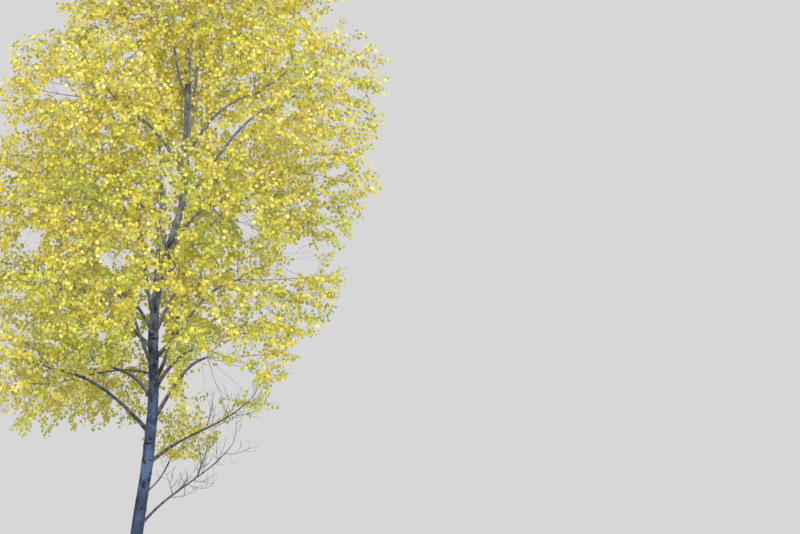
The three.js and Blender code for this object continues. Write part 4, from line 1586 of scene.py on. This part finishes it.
def leaf_mesh(leaves):
    """Leaves as vertices and faces: two halves of three faces each, and a stalk of two."""
    count = len(leaves.width)
    across = np.cross(leaves.along, leaves.normal)
    outline = leaf_outline()
    axes = np.stack([across, leaves.along, leaves.normal], 1)
    blade = leaves.roots[:, None] + leaves.width[:, None, None] * (outline @ axes)
    side = 0.5 * PETIOLE_WIDTH * across
    sunk = leaves.roots + leaves.along * PETIOLE_SINK
    stalk = np.stack([leaves.feet - side, leaves.feet + side, sunk + side, sunk - side], 1)
    vertices = np.concatenate([blade, stalk], 1)
    faces = np.concatenate([LEAF_FACES, STALK_FACES])
    faces = faces[None] + (np.arange(count) * vertices.shape[1])[:, None, None]
    return vertices.reshape(-1, 3), faces.reshape(-1, 3)


class PoplarLeaves(bpy.types.Operator):
    """Make the leaves, each tint in pieces of its own"""
    bl_idname = "poplar.leaves"
    bl_label = "Leaves"

    def execute(self, context):
        crown, twigs = crown_and_twigs()
        leaves = place_leaves(crown, twigs, context.scene.poplar_crown)
        tints = context.scene.poplar_tints
        nodes = [f"leaves_{mass.name}" for mass in crown.masses]
        least = -math.inf
        for tint, most in TINT_STEPS.items():
            own = np.flatnonzero((leaves.ripeness >= least) & (leaves.ripeness < most))
            least = most
            material = autumn_leaf(tint, getattr(tints, tint))
            count = math.ceil(len(own) * (len(LEAF_FACES) + len(STALK_FACES)) / MOST_TRIANGLES)
            for number, part in enumerate(np.array_split(own, count), 1):
                vertices, faces = leaf_mesh(rows_of(leaves, part))
                new_piece(f"leaves_{tint}_{number}", vertices, faces, material, nodes)
        return {"FINISHED"}


def add_even_light(scene, brightness):
    """Light of one brightness from everywhere, which is also the backdrop."""
    world = bpy.data.worlds.new("even_light")
    world.use_nodes = True
    sky = world.node_tree.nodes["Background"]
    feed(world.node_tree, sky.inputs["Color"], [brightness] * 3)
    scene.world = world


def add_soft_sun(scene, studio):
    """A wide sun that makes the floor as bright as the backdrop.

    The floor's brightness is the share of light that it returns, times the even light's brightness plus
    the sun's energy times the height of its direction over pi.
    """
    towards = Vector(SUN_DIRECTION).normalized()
    light = bpy.data.lights.new("soft_sun", "SUN")
    light.angle = studio.sun_width
    light.energy = math.pi * studio.backdrop * (1 / studio.floor - 1) / towards.z
    lamp = bpy.data.objects.new("soft_sun", light)
    lamp.rotation_euler = towards.to_track_quat("Z", "Y").to_euler()
    scene.collection.objects.link(lamp)


def lay_floor(scene, share):
    """A wide round floor that returns a share of the light and has no shine."""
    turn = FULL_TURN * np.arange(FLOOR_SIDES) / FLOOR_SIDES
    rim = FLOOR_RADIUS * np.stack([np.cos(turn), np.sin(turn), 0 * turn], 1)
    mesh = bpy.data.meshes.new("floor")
    mesh.from_pydata(rim.tolist(), [], [list(range(FLOOR_SIDES))])
    floor = bpy.data.objects.new("floor", mesh)
    scene.collection.objects.link(floor)
    material, tree, shader, _ = new_material("matt_plaster", roughness=1.0)
    feed(tree, shader.inputs["Base Color"], [share] * 3)
    shader.inputs["Specular IOR Level"].default_value = 0.0
    mesh.materials.append(material)


class PoplarStudioStage(bpy.types.Operator):
    """Lay the pale floor and light it, so that it melts into the backdrop"""
    bl_idname = "poplar.stage"
    bl_label = "Stage"

    def execute(self, context):
        scene = context.scene
        studio = scene.poplar_studio
        scene.view_settings.view_transform = "Standard"
        add_even_light(scene, studio.backdrop)
        add_soft_sun(scene, studio)
        lay_floor(scene, studio.floor)
        return {"FINISHED"}


class PoplarCamera(bpy.types.Operator):
    """Set the camera at the photograph's viewing angle and framing"""
    bl_idname = "poplar.camera"
    bl_label = "Camera"

    def execute(self, context):
        scene = context.scene
        studio = scene.poplar_studio
        pixel = SENSOR_WIDTH / PHOTO_WIDTH / studio.focal_length * studio.distance
        aim = Vector((PHOTO_WIDTH / 2 - STEM_PIXEL[0], 0, STEM_PIXEL[1] - PHOTO_HEIGHT / 2)) * pixel
        away = Vector((0, -math.cos(studio.elevation), math.sin(studio.elevation)))
        lens = bpy.data.cameras.new("long_lens")
        lens.sensor_width = SENSOR_WIDTH
        lens.lens = studio.focal_length
        lens.clip_end = 4 * studio.distance
        camera = bpy.data.objects.new("camera", lens)
        camera.location = aim + away * studio.distance
        camera.rotation_euler = away.to_track_quat("Z", "Y").to_euler()
        scene.collection.objects.link(camera)
        scene.camera = camera
        return {"FINISHED"}


OPERATORS = [
    PoplarCamera, PoplarStudioStage, PoplarStem, PoplarBoughs, PoplarBareBoughs, PoplarTwigs, PoplarLeaves,
]
SETTINGS = {
    "poplar_bark": PoplarBark,
    "poplar_crown": PoplarCrown,
    "poplar_tints": PoplarTints,
    "poplar_studio": PoplarStudio,
}


class PoplarPanel(bpy.types.Panel):
    """The poplar's settings and the steps that make it"""
    bl_idname = "VIEW3D_PT_poplar"
    bl_label = "Autumn Poplar"
    bl_space_type = "VIEW_3D"
    bl_region_type = "UI"
    bl_category = "Poplar"

    def draw(self, context):
        for name, group in SETTINGS.items():
            box = self.layout.box()
            box.label(text=group.__doc__)
            for prop in group.__annotations__:
                box.prop(getattr(context.scene, name), prop)
        for operator in OPERATORS:
            self.layout.operator(operator.bl_idname)


def register():
    for group in SETTINGS.values():
        bpy.utils.register_class(group)
    for name, group in SETTINGS.items():
        setattr(bpy.types.Scene, name, bpy.props.PointerProperty(type=group))
    for item in [*OPERATORS, PoplarPanel]:
        bpy.utils.register_class(item)


def unregister():
    for item in [PoplarPanel, *reversed(OPERATORS)]:
        bpy.utils.unregister_class(item)
    for name, group in reversed(SETTINGS.items()):
        delattr(bpy.types.Scene, name)
        bpy.utils.unregister_class(group)


def main():
    register()
    bpy.ops.poplar.camera()
    bpy.ops.poplar.stage()
    bpy.ops.poplar.stem()
    bpy.ops.poplar.boughs()
    bpy.ops.poplar.bare_boughs()
    bpy.ops.poplar.twigs()
    bpy.ops.poplar.leaves()
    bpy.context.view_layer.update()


if __name__ == "__main__":
    main()
